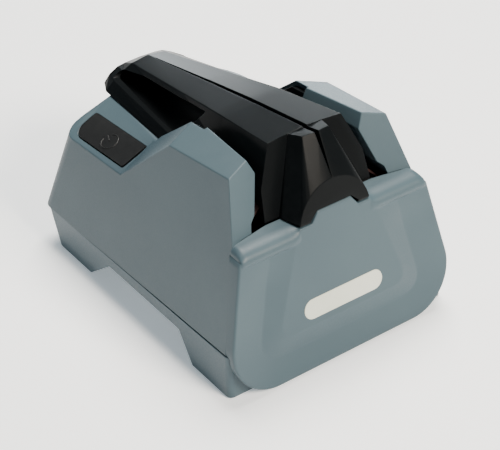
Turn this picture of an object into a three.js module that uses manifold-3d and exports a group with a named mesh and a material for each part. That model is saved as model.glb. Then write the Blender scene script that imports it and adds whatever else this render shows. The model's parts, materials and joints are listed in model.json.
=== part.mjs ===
// Electric belt knife sharpener for the kitchen: a two-part housing, a pull-off front cover, a lift-off knife guide,
// and behind the cover an abrasive belt that runs over three pulleys. Millimetres, +Z up, the front faces -Y.
import * as THREE from "three";
import { mergeVertices } from "three/addons/utils/BufferGeometryUtils.js";
import { ConvexGeometry } from "three/addons/geometries/ConvexGeometry.js";
import Module from "manifold-3d";

const wasm = await Module();
wasm.setup();

// Driving sizes. A size named "behind" or "at" along the depth is measured back from the foremost line of the cover.
const overallDepth = 173;
const clearance = 0.3; // between two pieces that touch
const wall = 2.5; // housing, base and cover
const guideTail = 8; // length of the knife guide's narrowing rear end
const overrun = 5; // by how much a cutting shape passes the face that it cuts
const reach = 300; // half size of the blocks that cut along a plane
const arcSteps = 6; // flat faces in a rounded corner
const roundSides = 24; // flat faces round a turned piece
const pinSides = 14; // the same on pins and screws

const base = {
  seamHeight: 24.6, // top of the base at the front, where the upper housing starts
  seamFallShare: 0.025, // the seam falls towards the back
  floorHeight: 16, // underside between the feet
  footBottom: 0.4, // the rubber pads stand this much proud
  footWidth: 24,
  halfWidthLow: 64.4,
  halfWidthHigh: 64.9,
  frontAt: 7.4,
  backMarginLow: 11.5, // the rear wall stands this far in front of the rearmost line
  backMarginHigh: 2.7,
  frontRound: 3,
  backRound: 7,
  frontFootLength: 30.4,
  frontFootSlant: 10, // the foot's rear side leans back by this much up to the floor
  backFootMargin: 45.7,
  backFootSlant: 19,
  ventCount: 5,
  ventWidth: 2.4,
  ventPitch: 6,
  ventLength: 22,
};

const pad = { length: 13, width: 15, thickness: 2.2, round: 3, behindFootFront: 9 };

const housing = {
  floorHalfWidth: 70.9, // where the leaning side would meet the floor
  skirtHeight: 20, // lowest point of the seam
  sideLeanShare: 0.257,
  backMargin: 2.7, // at the lowest point of the seam
  backLeanShare: 0.166,
  frontLeanShare: 0.22, // front edge behind the cover
  backRoundLow: 7,
  backRoundHigh: 13,
  saddleHeight: 74.5, // level that the knife guide's rails rest on
  deckHeight: 65, // outer edge of the sloping deck, beside the button
  deckHalfWidth: 53.3,
  deckSlopeShare: 0.38,
  plainDeckHeight: 59.7, // the deck without the button lies lower
  plainDeckSlopeShare: 0.59,
  hollowFoot: 52.5, // the hollow inside the towers reaches down to here
  deckFallShare: 0.04, // towards the back
};

// The towers stand left and right of the knife slots.
const tower = {
  footAt: 20.9, // front face where it leaves the cover
  footHeight: 74.8,
  footHalfWidth: 52.4,
  frontLeanShare: 0.376,
  frontTurnShare: 0.185, // the front face falls back towards the middle
  topHeight: 100.9, // outer front corner
  topHalfWidth: 45.3,
  topAt: 32,
  topRiseInShare: 0.305,
  topFallBackShare: 0.102,
  chamferAt: 77.1, // outer top corner of the sloping back
  chamferHeight: 96.5,
  chamferOutShare: 0.526,
  chamferBackShare: 0.819,
  innerTaperShare: 0.085,
};

// Knife slot: how far the tower stands from the side of the guide's wings, at four heights.
const slot = {
  floorGap: 8.2,
  kneeGap: 7.8,
  throatGap: 4.9,
  lipGap: 3.9,
  mouthGap: 11,
  kneeHeight: 77.9,
  throatHeight: 80.8,
  lipHeight: 97.2,
  mouthHeight: 104.9,
};

// The wings close the guide's front beside its nose.
const wing = { footAt: 25.2, footHalfWidth: 30.6, shoulderHalfWidth: 29.2, shoulderHeight: 89.5 };

// A fin on each side of the guide drops into a notch of its tower.
const fin = { at: 72, endAt: 106, width: 2.6, halfWidth: 27.4, sunk: 3 };

// Half sections of the guide's body, from its front to its end: the ridge, the edge of the top, two points on the side
// and the rail. In front of the fins the side stays narrow enough to pass between the towers' lips.
const frontSection = {
  at: 36, ridgeHeight: 109.8, edgeHalfWidth: 21, edgeHeight: 108.2,
  upperHalfWidth: 28.4, upperHeight: 89.5, lowerHalfWidth: 28.9, lowerHeight: 80, railHalfWidth: 28.9,
};
const beforeFinSection = {
  at: fin.at, ridgeHeight: 104.1, edgeHalfWidth: 18.6, edgeHeight: 103,
  upperHalfWidth: 24, upperHeight: 91.4, lowerHalfWidth: 25.6, lowerHeight: 82, railHalfWidth: 25.8,
};
const finSection = {
  at: fin.at + fin.width / 2, ridgeHeight: 103.9, edgeHalfWidth: 18.5, edgeHeight: 102.8,
  upperHalfWidth: 24, upperHeight: 91.4, lowerHalfWidth: 27.8, lowerHeight: 82, railHalfWidth: 29.4,
};
const windowSection = {
  at: 80, ridgeHeight: 102.8, edgeHalfWidth: 18.1, edgeHeight: 101.8,
  upperHalfWidth: 22.9, upperHeight: 91.8, lowerHalfWidth: 27.3, lowerHeight: 82.5, railHalfWidth: 29.4,
};
const middleSection = {
  at: 111, ridgeHeight: 97.3, edgeHalfWidth: 15.1, edgeHeight: 95.9,
  upperHalfWidth: 20.3, upperHeight: 88.5, lowerHalfWidth: 25.1, lowerHeight: 81.7, railHalfWidth: 29.6,
};
const tailSection = {
  at: overallDepth - guideTail, ridgeHeight: 87.1, edgeHalfWidth: 9.9, edgeHeight: 85.6,
  upperHalfWidth: 15.5, upperHeight: 83, lowerHalfWidth: 21.2, lowerHeight: 79.4, railHalfWidth: 26.3,
};
const endSection = {
  at: overallDepth, ridgeHeight: 82.4, edgeHalfWidth: 9.5, edgeHeight: 82,
  upperHalfWidth: 13.8, upperHeight: 81.4, lowerHalfWidth: 18.6, lowerHeight: 78.9, railHalfWidth: 22.2,
};

const guide = {
  wall: 2.2,
  sections: [
    frontSection,
    beforeFinSection,
    finSection,
    windowSection,
    middleSection,
    tailSection,
    endSection,
  ],
  stripHeight: 2.2, // from the top's edge down to the window
  stripHeightBack: 2.4,
  railHeight: 4.6,
  floorAt: 97, // a floor closes the hollow under the windows
  floorThickness: 1.6,
  windowAt: 87.8,
  windowSlant: 14,
  windowBackMargin: 5.4,
  windowRound: 1.1,
  slitWidth: 2.2,
  slitTaperAt: 84,
  slitEndMargin: 15,
};

const nose = {
  topAt: 27.3,
  topHeight: 111,
  topHalfWidth: 7.5,
  edgeAt: 28.4,
  edgeHeight: 110.6,
  rootHalfWidth: 9.7, // where the nose leaves the body's top
  flankAt: 23.5,
  flankHalfWidth: 22.7,
  archRadius: 20.3,
  archCentre: 72,
  archSteps: 16,
  archHeight: 75.9, // lower edge beside the tongue
  slitFootHeight: 84, // the slit behind the nose reaches down to here
};

const cover = {
  bottomHeight: 1.2,
  floorHalfWidth: 70.2,
  sideLeanShare: 0.226,
  cornerRound: 23.6,
  frontMargin: -0.21,
  leanShare: 0.175,
  topHeight: 74.3,
  wall: 2.8,
  tongueHalfWidth: 9.5,
  tongueFoot: 13.4,
  tongueHeight: 79.3,
  edgeLand: 1.2, // flat edge round the face
  valleyDepth: 1.8, // the face falls from its edge to a valley and rises again to the panel
  contourTop: 84, // where the sides of valley and panel would end, above the cover
  valleyTop: 33.2, // half width of the valley at that height
  valleyLow: 48.6,
  valleyLowHeight: 16.6,
  valleyRound: 12,
  panelTop: 17.8,
  panelLow: 38.5,
  panelLowHeight: 24,
  panelRound: 8,
  rollFoot: 67.4, // crease under the roll along the top edge
  rollHeight: 70.2, // where it stands proudest
  rollProud: 0.7,
  rollInner: 22.5, // the roll is cut away between these half widths
  rollRadius: 3,
  hookWidth: 11,
  hookThickness: 2,
  hookLength: 6,
  hookOffset: 22,
  hookHeight: 20,
};

const badge = { length: 46, height: 10.2, centreHeight: 32.6, thickness: 1.1, proud: 0.3 };

const belt = { width: 12.7, thickness: 0.9, frontAt: 31.6, tunnel: 0.8, edgeGap: 0.5 };

const pulley = {
  radius: 6.7,
  crown: 0.15,
  width: 13.4,
  apexHeight: 96,
  sideOffset: 38.5, // of the two lower pulleys
  sideHeight: 59.7,
  axleRadius: 1.9,
  bearingRadius: 3.9,
  bearingWall: 1.7,
  headRadius: 3.1,
  headLength: 1.2,
};

const chassis = {
  frontAt: belt.frontAt + belt.width + 2.7, // leaves room for the tension arm
  thickness: 3,
  halfWidth: 47,
  bottomHeight: 22.4,
  shoulderHeight: 66,
  neckHalfWidth: 26,
  neckHeight: 71,
  waistHalfWidth: 21,
  waistHeight: 82,
  topHalfWidth: 8,
  topHeight: 102.6,
  flangeLength: 16,
  flangeThickness: 2.6,
  flangeHalfWidth: 36,
  screwOffset: 28,
};

const motor = {
  radius: 12,
  length: 24,
  capLength: 6.8,
  bossRadius: 4,
  bossLength: 1.8,
  shaftRadius: 1.15,
  shaftTail: 2,
  screwOffset: 8,
  terminalWidth: 2.4,
  terminalLength: 4,
  terminalOffset: 6,
};

const tensioner = {
  pivotOffset: -24,
  pivotHeight: 40,
  pivotRadius: 2,
  armThickness: 1.6,
  armHalfWidth: 4.4,
  springLength: 13,
  springRadius: 2.2,
  springWire: 0.4,
  springCurls: 7,
  springReach: 8, // from the pivot along the arm
  hookRadius: 1.4,
  hookLength: 6,
};

const button = {
  length: 43.6,
  width: 15.6,
  smallRound: 1,
  bigRound: 7.5,
  offset: -43.9, // middle of the button from the middle of the housing
  backMargin: 38.6,
  turnDegrees: 2.3,
  gap: 0.4,
  proud: 0.8,
  thickness: 3,
  travel: 1.2,
  rimWidth: 1.2,
  rimDepth: 1.6, // lip under the deck that keeps the button in
  stemRadius: 2.2,
  springRadius: 3.6,
  springWire: 0.4,
  springCurls: 5,
};

const board = {
  depth: 15.4, // below the deck's surface, to the board's upper face
  thickness: 1.6,
  length: 36,
  outerHalfWidth: 7.5,
  innerHalfWidth: 16,
  switchSize: 10,
  switchHeight: 5,
  plungerRadius: 1.8,
  plungerHeight: 1.4,
  plungerDepth: 1.5, // of the plunger's foot in the switch
  postRadius: 2.8,
  postAcross: 12.4,
  postOffset: 12,
};

const jack = {
  offset: 38,
  height: 38,
  flangeRadius: 6,
  barrelRadius: 4.4,
  flangeThickness: 1.4,
  length: 13,
  holeRadius: 2.8,
  holeDepth: 9,
  pinRadius: 1,
};

const screw = { radius: 1.4, headRadius: 2.8, headHeight: 1.9, recess: 2.4 };
const baseScrew = { length: 22, frontAt: 31, backMargin: 31, inset: 7.4, headHeight: 9, postRadius: 4.2, bossTop: 36 };
const boardScrewLength = 7;
const motorScrewLength = 5.5;
const chassisScrewLength = 7;
const lead = { radius: 0.8, sides: 6 };

const X = new THREE.Vector3(1, 0, 0);
const Y = new THREE.Vector3(0, 1, 0);
const Z = new THREE.Vector3(0, 0, 1);
const sides = { left: -1, right: 1 };

const baseBackLow = overallDepth - base.backMarginLow;
const baseBackHigh = overallDepth - base.backMarginHigh;
const backFootAt = overallDepth - base.backFootMargin;
const backScrewAt = overallDepth - baseScrew.backMargin;
const baseScrewOffset = base.halfWidthLow - baseScrew.inset;
const housingBackLow = overallDepth - housing.backMargin;
const buttonAt = overallDepth - button.backMargin;
const windowBackAt = overallDepth - guide.windowBackMargin;
const slitEndAt = overallDepth - guide.slitEndMargin;

const yAt = (behind) => behind - overallDepth / 2;
const coverFrontAt = (height) => cover.frontMargin + cover.leanShare * height;

// Solids

function solid(geometry) {
  const bare = geometry.clone();
  bare.deleteAttribute("normal");
  bare.deleteAttribute("uv");
  const merged = mergeVertices(bare);
  const triVerts = new Uint32Array(merged.index.array);
  const vertProperties = new Float32Array(merged.attributes.position.array);
  const make = () => new wasm.Manifold(new wasm.Mesh({ numProp: 3, vertProperties, triVerts }));
  const made = make();
  if (made.volume() > 0) return made;
  for (let i = 0; i < triVerts.length; i += 3) {
    [triVerts[i + 1], triVerts[i + 2]] = [triVerts[i + 2], triVerts[i + 1]];
  }
  return make();
}

const union = (first, ...rest) => rest.reduce((sum, next) => sum.add(next), first);
const minus = (first, ...rest) => rest.reduce((left, next) => left.subtract(next), first);

function geometryOf(made) {
  const { vertProperties, triVerts } = made.getMesh();
  return new THREE.BufferGeometry()
    .setAttribute("position", new THREE.BufferAttribute(new Float32Array(vertProperties), 3))
    .setIndex(new THREE.BufferAttribute(new Uint32Array(triVerts), 1))
    .toNonIndexed();
}

// Corners are [x, y, radius]; a corner with a radius becomes an arc.
function outline(corners) {
  const points = [];
  corners.forEach(([x, y, radius = 0], i) => {
    const corner = new THREE.Vector2(x, y);
    if (radius === 0) {
      points.push(corner);
      return;
    }
    const toward = ([px, py]) => new THREE.Vector2(px - x, py - y).normalize();
    const toLast = toward(corners.at(i - 1));
    const toNext = toward(corners[(i + 1) % corners.length]);
    const half = Math.acos(toLast.dot(toNext)) / 2;
    const middle = toLast.clone().add(toNext).normalize();
    const centre = corner.clone().addScaledVector(middle, radius / Math.sin(half));
    const start = toLast.multiplyScalar(radius / Math.tan(half)).add(corner).sub(centre).angle();
    const end = toNext.multiplyScalar(radius / Math.tan(half)).add(corner).sub(centre).angle();
    const sweep = Math.atan2(Math.sin(end - start), Math.cos(end - start));
    for (let k = 0; k <= arcSteps; k++) {
      const angle = start + (sweep * k) / arcSteps;
      points.push(new THREE.Vector2(Math.cos(angle), Math.sin(angle)).multiplyScalar(radius).add(centre));
    }
  });
  return points;
}

const extruded = (points, depth) =>
  new THREE.ExtrudeGeometry(new THREE.Shape(points), { depth, bevelEnabled: false, curveSegments: arcSteps });

// An outline in X and height, drawn from one distance behind the front to another.
const lengthwise = (points, from, to) =>
  solid(extruded(points, to - from).rotateX(Math.PI / 2).translate(0, yAt(to), 0));

// An outline in depth and height, drawn across.
function across(points, from, to) {
  const turned = new THREE.Matrix4().makeBasis(Y, Z, X).setPosition(from, yAt(0), 0);
  return solid(extruded(points, to - from).applyMatrix4(turned));
}

// An outline in X and depth, drawn upwards.
const upright = (points, bottom, top) => solid(extruded(points, top - bottom).translate(0, yAt(0), bottom));

const rectangle = (left, right, low, high) => outline([[left, low], [right, low], [right, high], [left, high]]);

const block = (left, right, from, to, bottom, top) => upright(rectangle(left, right, from, to), bottom, top);

// A rod along the depth.
function rod(x, height, radius, from, to, count = pinSides) {
  const shape = new THREE.CylinderGeometry(radius, radius, to - from, count);
  return solid(shape.translate(x, yAt((from + to) / 2), height));
}

function post(x, at, radius, bottom, top, count = pinSides) {
  const shape = new THREE.CylinderGeometry(radius, radius, top - bottom, count).rotateX(Math.PI / 2);
  return solid(shape.translate(x, yAt(at), (bottom + top) / 2));
}

const ring = (outer, inner, from, to) => [[inner, from], [outer, from], [outer, to], [inner, to], [inner, from]];

// A profile of [radius, distance] pairs turned round an axis along the depth.
function turned(profile, x, height, at, count = roundSides) {
  const points = profile.map(([radius, along]) => new THREE.Vector2(radius, along));
  return solid(new THREE.LatheGeometry(points, count).translate(x, yAt(at), height));
}

// Everything past a plane.
function beyond(x, at, height, nx, ny, nz, inset = 0) {
  const normal = new THREE.Vector3(nx, ny, nz).normalize();
  const shape = new THREE.BoxGeometry(2 * reach, 2 * reach, reach).translate(0, 0, reach / 2 - inset);
  shape.applyQuaternion(new THREE.Quaternion().setFromUnitVectors(Z, normal));
  return solid(shape.translate(x, yAt(at), height));
}

// A skin through rings of points, with both ends closed. The rings lie across the given axis.
function loft(rings, axis) {
  const count = rings[0].length;
  const flat = ([x, y, z]) => (axis === "y" ? new THREE.Vector2(x, z) : new THREE.Vector2(x, y));
  const index = [];
  rings.slice(1).forEach((_, level) => {
    for (let i = 0; i < count; i++) {
      const a = level * count + i;
      const b = level * count + ((i + 1) % count);
      index.push(a, b, b + count, a, b + count, a + count);
    }
  });
  const clockwise = THREE.ShapeUtils.isClockWise(rings[0].map(flat));
  const cap = (level, flip) => {
    const faces = THREE.ShapeUtils.triangulateShape(rings[level].map(flat), []);
    faces.forEach(([a, b, c]) => index.push(...(flip ? [a, c, b] : [a, b, c]).map((i) => i + level * count)));
  };
  cap(0, !clockwise);
  cap(rings.length - 1, clockwise);
  const shape = new THREE.BufferGeometry();
  shape.setAttribute("position", new THREE.Float32BufferAttribute(rings.flat(2), 3));
  return solid(shape.setIndex(index));
}

// A wire or a tube along a curve.
function tube(curve, radius, steps, count) {
  const section = Array.from({ length: count }, (_, i) => {
    const angle = (2 * Math.PI * i) / count;
    return new THREE.Vector2(radius * Math.cos(angle), radius * Math.sin(angle));
  });
  return solid(new THREE.ExtrudeGeometry(new THREE.Shape(section), { steps, extrudePath: curve }));
}

const curlSteps = 8;
const wireSides = 5;

function coil(radius, wire, length, curls) {
  const turns = Array.from({ length: curls * curlSteps + 1 }, (_, i) => {
    const angle = (2 * Math.PI * i) / curlSteps;
    const rise = (length * i) / (curls * curlSteps);
    return new THREE.Vector3(radius * Math.cos(angle), radius * Math.sin(angle), rise);
  });
  return tube(new THREE.CatmullRomCurve3(turns), wire, curls * curlSteps, wireSides);
}

// Finishes

const finishes = {
  greyShell: { color: 0x6e7f86, roughness: 0.55, metalness: 0 },
  blackShell: { color: 0x2c3236, roughness: 0.5, metalness: 0 },
  cream: { color: 0xd9ddcc, roughness: 0.45, metalness: 0 },
  rubber: { color: 0x1e1f20, roughness: 0.9, metalness: 0 },
  steel: { color: 0xa9adb0, roughness: 0.35, metalness: 1 },
  abrasive: { color: 0x5a2620, roughness: 0.95, metalness: 0 },
  pulleyPlastic: { color: 0xc9c9c2, roughness: 0.5, metalness: 0 },
  bronze: { color: 0x9a7440, roughness: 0.4, metalness: 1 },
  innerPlastic: { color: 0x3a3d40, roughness: 0.6, metalness: 0 },
  circuitBoard: { color: 0x1f5a3a, roughness: 0.5, metalness: 0 },
  redLead: { color: 0x9c1f1c, roughness: 0.6, metalness: 0 },
  blackLead: { color: 0x151515, roughness: 0.6, metalness: 0 },
};

const sharpener = new THREE.Group();

function add(name, finish, made, parent = sharpener) {
  const mesh = new THREE.Mesh(geometryOf(made), new THREE.MeshStandardMaterial(finishes[finish]));
  mesh.name = name;
  parent.add(mesh);
  return mesh;
}

// Upper housing

const halfWidthAt = (height) => housing.floorHalfWidth - housing.sideLeanShare * height;
const housingBackAt = (height) => housingBackLow - housing.backLeanShare * (height - housing.skirtHeight);
const aboveSeam = () => beyond(0, base.frontAt, base.seamHeight, 0, base.seamFallShare, 1);
const belowSeam = () => beyond(0, base.frontAt, base.seamHeight, 0, -base.seamFallShare, -1, clearance);

// A level outline of a box with rounded corners at the back and front, as a ring of points.
function planRing(height, halfWidth, front, back, frontRound, backRound) {
  const corners = [
    [-halfWidth, front, frontRound],
    [halfWidth, front, frontRound],
    [halfWidth, back, backRound],
    [-halfWidth, back, backRound],
  ];
  return outline(corners).map((p) => [p.x, yAt(p.y), height]);
}

function leaningBox(inset, bottom, top, front) {
  const level = (height, round) =>
    planRing(height, halfWidthAt(height) - inset, front, housingBackAt(height) - inset, 0, round - inset);
  return loft([level(bottom, housing.backRoundLow), level(top, housing.backRoundHigh)], "z");
}

// Half width of the guide's wings, from which the slots are measured.
function wingHalfWidthAt(height) {
  const { edgeHalfWidth, edgeHeight } = frontSection;
  const foot = [wing.footHalfWidth, housing.saddleHeight];
  const shoulder = [wing.shoulderHalfWidth, wing.shoulderHeight];
  const [from, to] = height > wing.shoulderHeight ? [shoulder, [edgeHalfWidth, edgeHeight]] : [foot, shoulder];
  return from[0] + ((height - from[1]) / (to[1] - from[1])) * (to[0] - from[0]);
}

function towerProfile(inset) {
  const bottom = housing.hollowFoot;
  const at = (height, gap) => [wingHalfWidthAt(height) + gap + inset, height];
  const footHalfWidth = at(tower.footHeight, slot.floorGap)[0];
  return [
    [footHalfWidth, bottom],
    [footHalfWidth, tower.footHeight],
    at(slot.kneeHeight, slot.kneeGap),
    at(slot.throatHeight, slot.throatGap),
    at(slot.lipHeight, slot.lipGap),
    at(slot.mouthHeight, slot.mouthGap),
    [wingHalfWidthAt(slot.mouthHeight) + slot.mouthGap + inset, nose.topHeight],
    [halfWidthAt(bottom), nose.topHeight],
    [halfWidthAt(bottom), bottom],
  ];
}

function towerTopCut(side, inset) {
  const t = tower;
  return beyond(side * t.topHalfWidth, t.topAt, t.topHeight, side * t.topRiseInShare, t.topFallBackShare, 1, inset);
}

function towerBlock(side, inset, box) {
  const t = tower;
  const profile = towerProfile(inset);
  const innermost = profile.length - 2;
  const section = (at) => {
    const taper = t.innerTaperShare * (at - t.topAt);
    return profile.map(([x, height], i) => [side * (x - (i < innermost ? taper : 0)), yAt(at), height]);
  };
  const swept = loft([section(0), section(backFootAt)], "y");
  return minus(
    swept.intersect(box),
    beyond(side * t.footHalfWidth, t.footAt, t.footHeight, -side * t.frontTurnShare, -1, t.frontLeanShare, inset),
    towerTopCut(side, inset),
    chamferCut(side, inset),
  );
}

function deckCut(side, inset) {
  const h = housing;
  const [height, slope] =
    side === sides.left ? [h.deckHeight, h.deckSlopeShare] : [h.plainDeckHeight, h.plainDeckSlopeShare];
  return beyond(side * h.deckHalfWidth, buttonAt, height, side * slope, h.deckFallShare, 1, inset);
}

function chamferCut(side, inset) {
  const t = tower;
  return beyond(
    side * t.topHalfWidth,
    t.chamferAt,
    t.chamferHeight,
    side * t.chamferOutShare,
    t.chamferBackShare,
    1,
    inset,
  );
}

// The level floor under a knife slot, which runs back into the sloping deck.
function slotFloor(side, inset) {
  const inner = side * fin.halfWidth / 2;
  const outer = side * (towerProfile(0)[0][0] + wall);
  const [left, right] = [Math.min(inner, outer), Math.max(inner, outer)];
  const from = inset > 0 ? -overrun : 0;
  const floor = block(left, right, from, backFootAt, housing.hollowFoot, housing.saddleHeight - inset);
  return floor.subtract(chamferCut(side, inset));
}

function housingForm(inset, bottom, front) {
  const box = leaningBox(inset, bottom, nose.topHeight, front);
  const body = minus(
    box,
    deckCut(sides.left, inset),
    deckCut(sides.right, inset),
    beyond(0, 0, housing.saddleHeight, 0, 0, 1, inset),
  );
  const towers = [sides.left, sides.right].flatMap((side) => [towerBlock(side, inset, box), slotFloor(side, inset)]);
  return union(body, ...towers);
}

const deckNormal = new THREE.Vector3(-housing.deckSlopeShare, housing.deckFallShare, 1).normalize();
const deckLine = deckNormal.clone().cross(Y.clone().cross(deckNormal)).normalize();
const buttonHeight = housing.deckHeight + housing.deckSlopeShare * (housing.deckHalfWidth + button.offset);

// The button, its switch and its board lie in the sloping deck's own frame, whose Z leaves the deck.
const deckFrame = new THREE.Matrix4()
  .makeTranslation(button.offset, yAt(buttonAt), buttonHeight)
  .multiply(new THREE.Matrix4().makeBasis(Y.clone().cross(deckNormal).normalize(), deckLine, deckNormal))
  .multiply(new THREE.Matrix4().makeRotationZ(THREE.MathUtils.degToRad(button.turnDegrees)));

const onDeck = (geometry) => solid(geometry.applyMatrix4(deckFrame));

function buttonOutline(grown) {
  const halfWidth = button.width / 2 + grown;
  const halfLength = button.length / 2 + grown;
  const small = button.smallRound + Math.max(grown, 0);
  return outline([
    [-halfWidth, -halfLength, small],
    [halfWidth, -halfLength, small],
    [halfWidth, halfLength, small],
    [-halfWidth, halfLength, button.bigRound + grown],
  ]);
}

const deckPlate = (points, bottom, top) => onDeck(extruded(points, top - bottom).translate(0, 0, bottom));

function deckPost(inward, along, radius, bottom, top) {
  const shape = new THREE.CylinderGeometry(radius, radius, top - bottom, pinSides).rotateX(Math.PI / 2);
  return onDeck(shape.translate(inward, along, (bottom + top) / 2));
}

const chassisBackAt = chassis.frontAt + chassis.thickness;
const bayBackAt = chassisBackAt + 2 * clearance;
const bayTop = tower.footHeight - clearance;
const screwPlaces = [
  ["front_left", sides.left, baseScrew.frontAt],
  ["front_right", sides.right, baseScrew.frontAt],
  ["back_left", sides.left, backScrewAt],
  ["back_right", sides.right, backScrewAt],
];

function makeUpperHousing() {
  const outer = minus(
    housingForm(0, housing.skirtHeight, 0),
    beyond(0, tower.footAt, tower.footHeight, 0, -1, housing.frontLeanShare),
    belowSeam(),
  );
  const cavity = housingForm(wall, housing.skirtHeight - overrun, -overrun);
  const bosses = screwPlaces.map(([, side, at]) => {
    const boss = post(side * baseScrewOffset, at, baseScrew.postRadius, housing.skirtHeight, baseScrew.bossTop);
    const [left, right] = [side * baseScrewOffset, side * halfWidthAt(baseScrew.bossTop)].sort((a, b) => a - b);
    const half = wall / 2;
    const rib = block(left, right, at - half, at + half, base.seamHeight + clearance, baseScrew.bossTop - half);
    return boss.add(rib).intersect(outer);
  });
  const bayHalfWidth = towerProfile(0)[0][0];
  const boardPosts = [-board.postOffset, board.postOffset].map((along) =>
    deckPost(board.postAcross, along, board.postRadius, clearance - board.depth, -wall / 2),
  );
  const finOuter = fin.halfWidth + fin.width + clearance;
  const notch = (side) => {
    const inner = side * fin.halfWidth / 2;
    const from = Math.min(inner, side * finOuter);
    const to = Math.max(inner, side * finOuter);
    return block(from, to, fin.at - clearance, backFootAt, housing.saddleHeight, nose.topHeight);
  };
  const jackBore = rod(
    jack.offset,
    jack.height,
    jack.barrelRadius + clearance,
    housingBackAt(jack.height) - jack.length,
    overallDepth + overrun,
    roundSides,
  );
  const screwBores = screwPlaces.map(([, side, at]) =>
    post(
      side * baseScrewOffset,
      at,
      screw.radius + clearance,
      housing.skirtHeight - overrun,
      baseScrew.headHeight + baseScrew.length + clearance,
    ),
  );
  const boardBores = [-board.postOffset, board.postOffset].map((along) =>
    deckPost(board.postAcross, along, screw.radius + clearance, -board.depth, boardScrewLength - board.depth),
  );
  return minus(
    union(outer.subtract(cavity), ...bosses, ...boardPosts),
    block(-bayHalfWidth, bayHalfWidth, -overrun, bayBackAt, chassis.shoulderHeight - overrun, tower.footHeight),
    block(-chassis.halfWidth, chassis.halfWidth, -overrun, bayBackAt, housing.deckHeight - overrun, bayTop),
    notch(sides.left),
    notch(sides.right),
    deckPlate(buttonOutline(button.gap), -board.depth / 2, overrun),
    jackBore,
    ...screwBores,
    ...boardBores,
  );
}

// Base tray with its four feet

function makeBaseTray() {
  const b = base;
  const level = (height, halfWidth, back, inset) =>
    planRing(height, halfWidth - inset, b.frontAt + inset, back - inset, b.frontRound, b.backRound);
  const outer = loft(
    [
      level(b.footBottom, b.halfWidthLow, baseBackLow, 0),
      level(b.seamHeight, b.halfWidthHigh, baseBackHigh, 0),
    ],
    "z",
  );
  const floorTop = b.floorHeight + wall;
  const top = b.seamHeight + overrun;
  const cavity = loft(
    [level(floorTop, b.halfWidthHigh, baseBackLow + wall, wall), level(top, b.halfWidthHigh, baseBackHigh, wall)],
    "z",
  );
  const frontFootEnd = b.frontAt + b.frontFootLength;
  const backFootTop = backFootAt - b.backFootSlant;
  const arch = across(
    outline([
      [frontFootEnd, -overrun],
      [frontFootEnd, b.footBottom],
      [frontFootEnd + b.frontFootSlant, b.floorHeight],
      [backFootTop, b.floorHeight],
      [backFootAt, b.footBottom],
      [backFootAt, -overrun],
    ]),
    -reach,
    reach,
  );
  const innerFoot = b.halfWidthLow - b.footWidth;
  const tunnel = block(-innerFoot, innerFoot, -overrun, overallDepth + overrun, -overrun, b.floorHeight);
  const pockets = [sides.left, sides.right].flatMap((side) => {
    const near = side * (innerFoot + wall);
    const far = side * (b.halfWidthLow - wall);
    const [left, right] = [Math.min(near, far), Math.max(near, far)];
    const bottom = b.footBottom + pad.thickness + wall;
    return [
      block(left, right, b.frontAt + wall, frontFootEnd - wall, bottom, floorTop + clearance),
      block(left, right, backFootAt + wall, baseBackLow - wall, bottom, floorTop + clearance),
    ];
  });
  const posts = screwPlaces.map(([, side, at]) =>
    post(side * baseScrewOffset, at, baseScrew.postRadius, b.footBottom + wall, b.seamHeight),
  );
  const bores = screwPlaces.flatMap(([, side, at]) => [
    post(side * baseScrewOffset, at, screw.radius + clearance, 0, top),
    post(side * baseScrewOffset, at, screw.headRadius + clearance, 0, baseScrew.headHeight + screw.headHeight),
  ]);
  const padSeats = padPlaces.map(([, side, at]) => padShape(side, at, clearance, -overrun, pad.thickness + clearance));
  const vents = Array.from({ length: b.ventCount }, (_, i) => {
    const x = (i - (b.ventCount - 1) / 2) * b.ventPitch;
    const from = chassisBackAt + chassis.flangeLength + b.ventPitch;
    return block(x - b.ventWidth / 2, x + b.ventWidth / 2, from, from + b.ventLength, 0, top);
  });
  const hookSlots = [sides.left, sides.right].map((side) => {
    const x = side * cover.hookOffset;
    const half = cover.hookWidth / 2 + clearance;
    const high = cover.hookHeight + cover.hookThickness + clearance;
    return block(x - half, x + half, 0, b.frontAt + 2 * wall, cover.hookHeight - clearance, high);
  });
  const flangeBosses = [sides.left, sides.right].map((side) =>
    post(side * chassis.screwOffset, flangeScrewAt, baseScrew.postRadius, b.floorHeight, chassis.bottomHeight - clearance),
  );
  const flangeBores = [sides.left, sides.right].map((side) =>
    post(side * chassis.screwOffset, flangeScrewAt, screw.radius + clearance, flangeScrewEnd - clearance, top),
  );
  const tray = outer.subtract(cavity);
  const hollowed = minus(tray, arch, tunnel, ...pockets);
  return minus(
    union(hollowed, ...posts, ...flangeBosses),
    ...bores,
    ...padSeats,
    ...vents,
    ...hookSlots,
    ...flangeBores,
    aboveSeam(),
  );
}

const flangeScrewAt = chassisBackAt + chassis.flangeLength / 2;
const flangeScrewEnd = chassis.bottomHeight + chassis.flangeThickness - chassisScrewLength;

const padPlaces = [
  ["front_left", sides.left, base.frontAt + pad.behindFootFront],
  ["front_right", sides.right, base.frontAt + pad.behindFootFront],
  ["back_left", sides.left, baseBackLow - pad.behindFootFront],
  ["back_right", sides.right, baseBackLow - pad.behindFootFront],
];

function padShape(side, at, grown, bottom, top) {
  const middle = side * (base.halfWidthLow - base.footWidth / 2);
  const halfWidth = pad.width / 2 + grown;
  const halfLength = pad.length / 2 + grown;
  const corners = [
    [middle - halfWidth, at - halfLength, pad.round],
    [middle + halfWidth, at - halfLength, pad.round],
    [middle + halfWidth, at + halfLength, pad.round],
    [middle - halfWidth, at + halfLength, pad.round],
  ];
  return upright(outline(corners), bottom, top);
}

// Front cover

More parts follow.
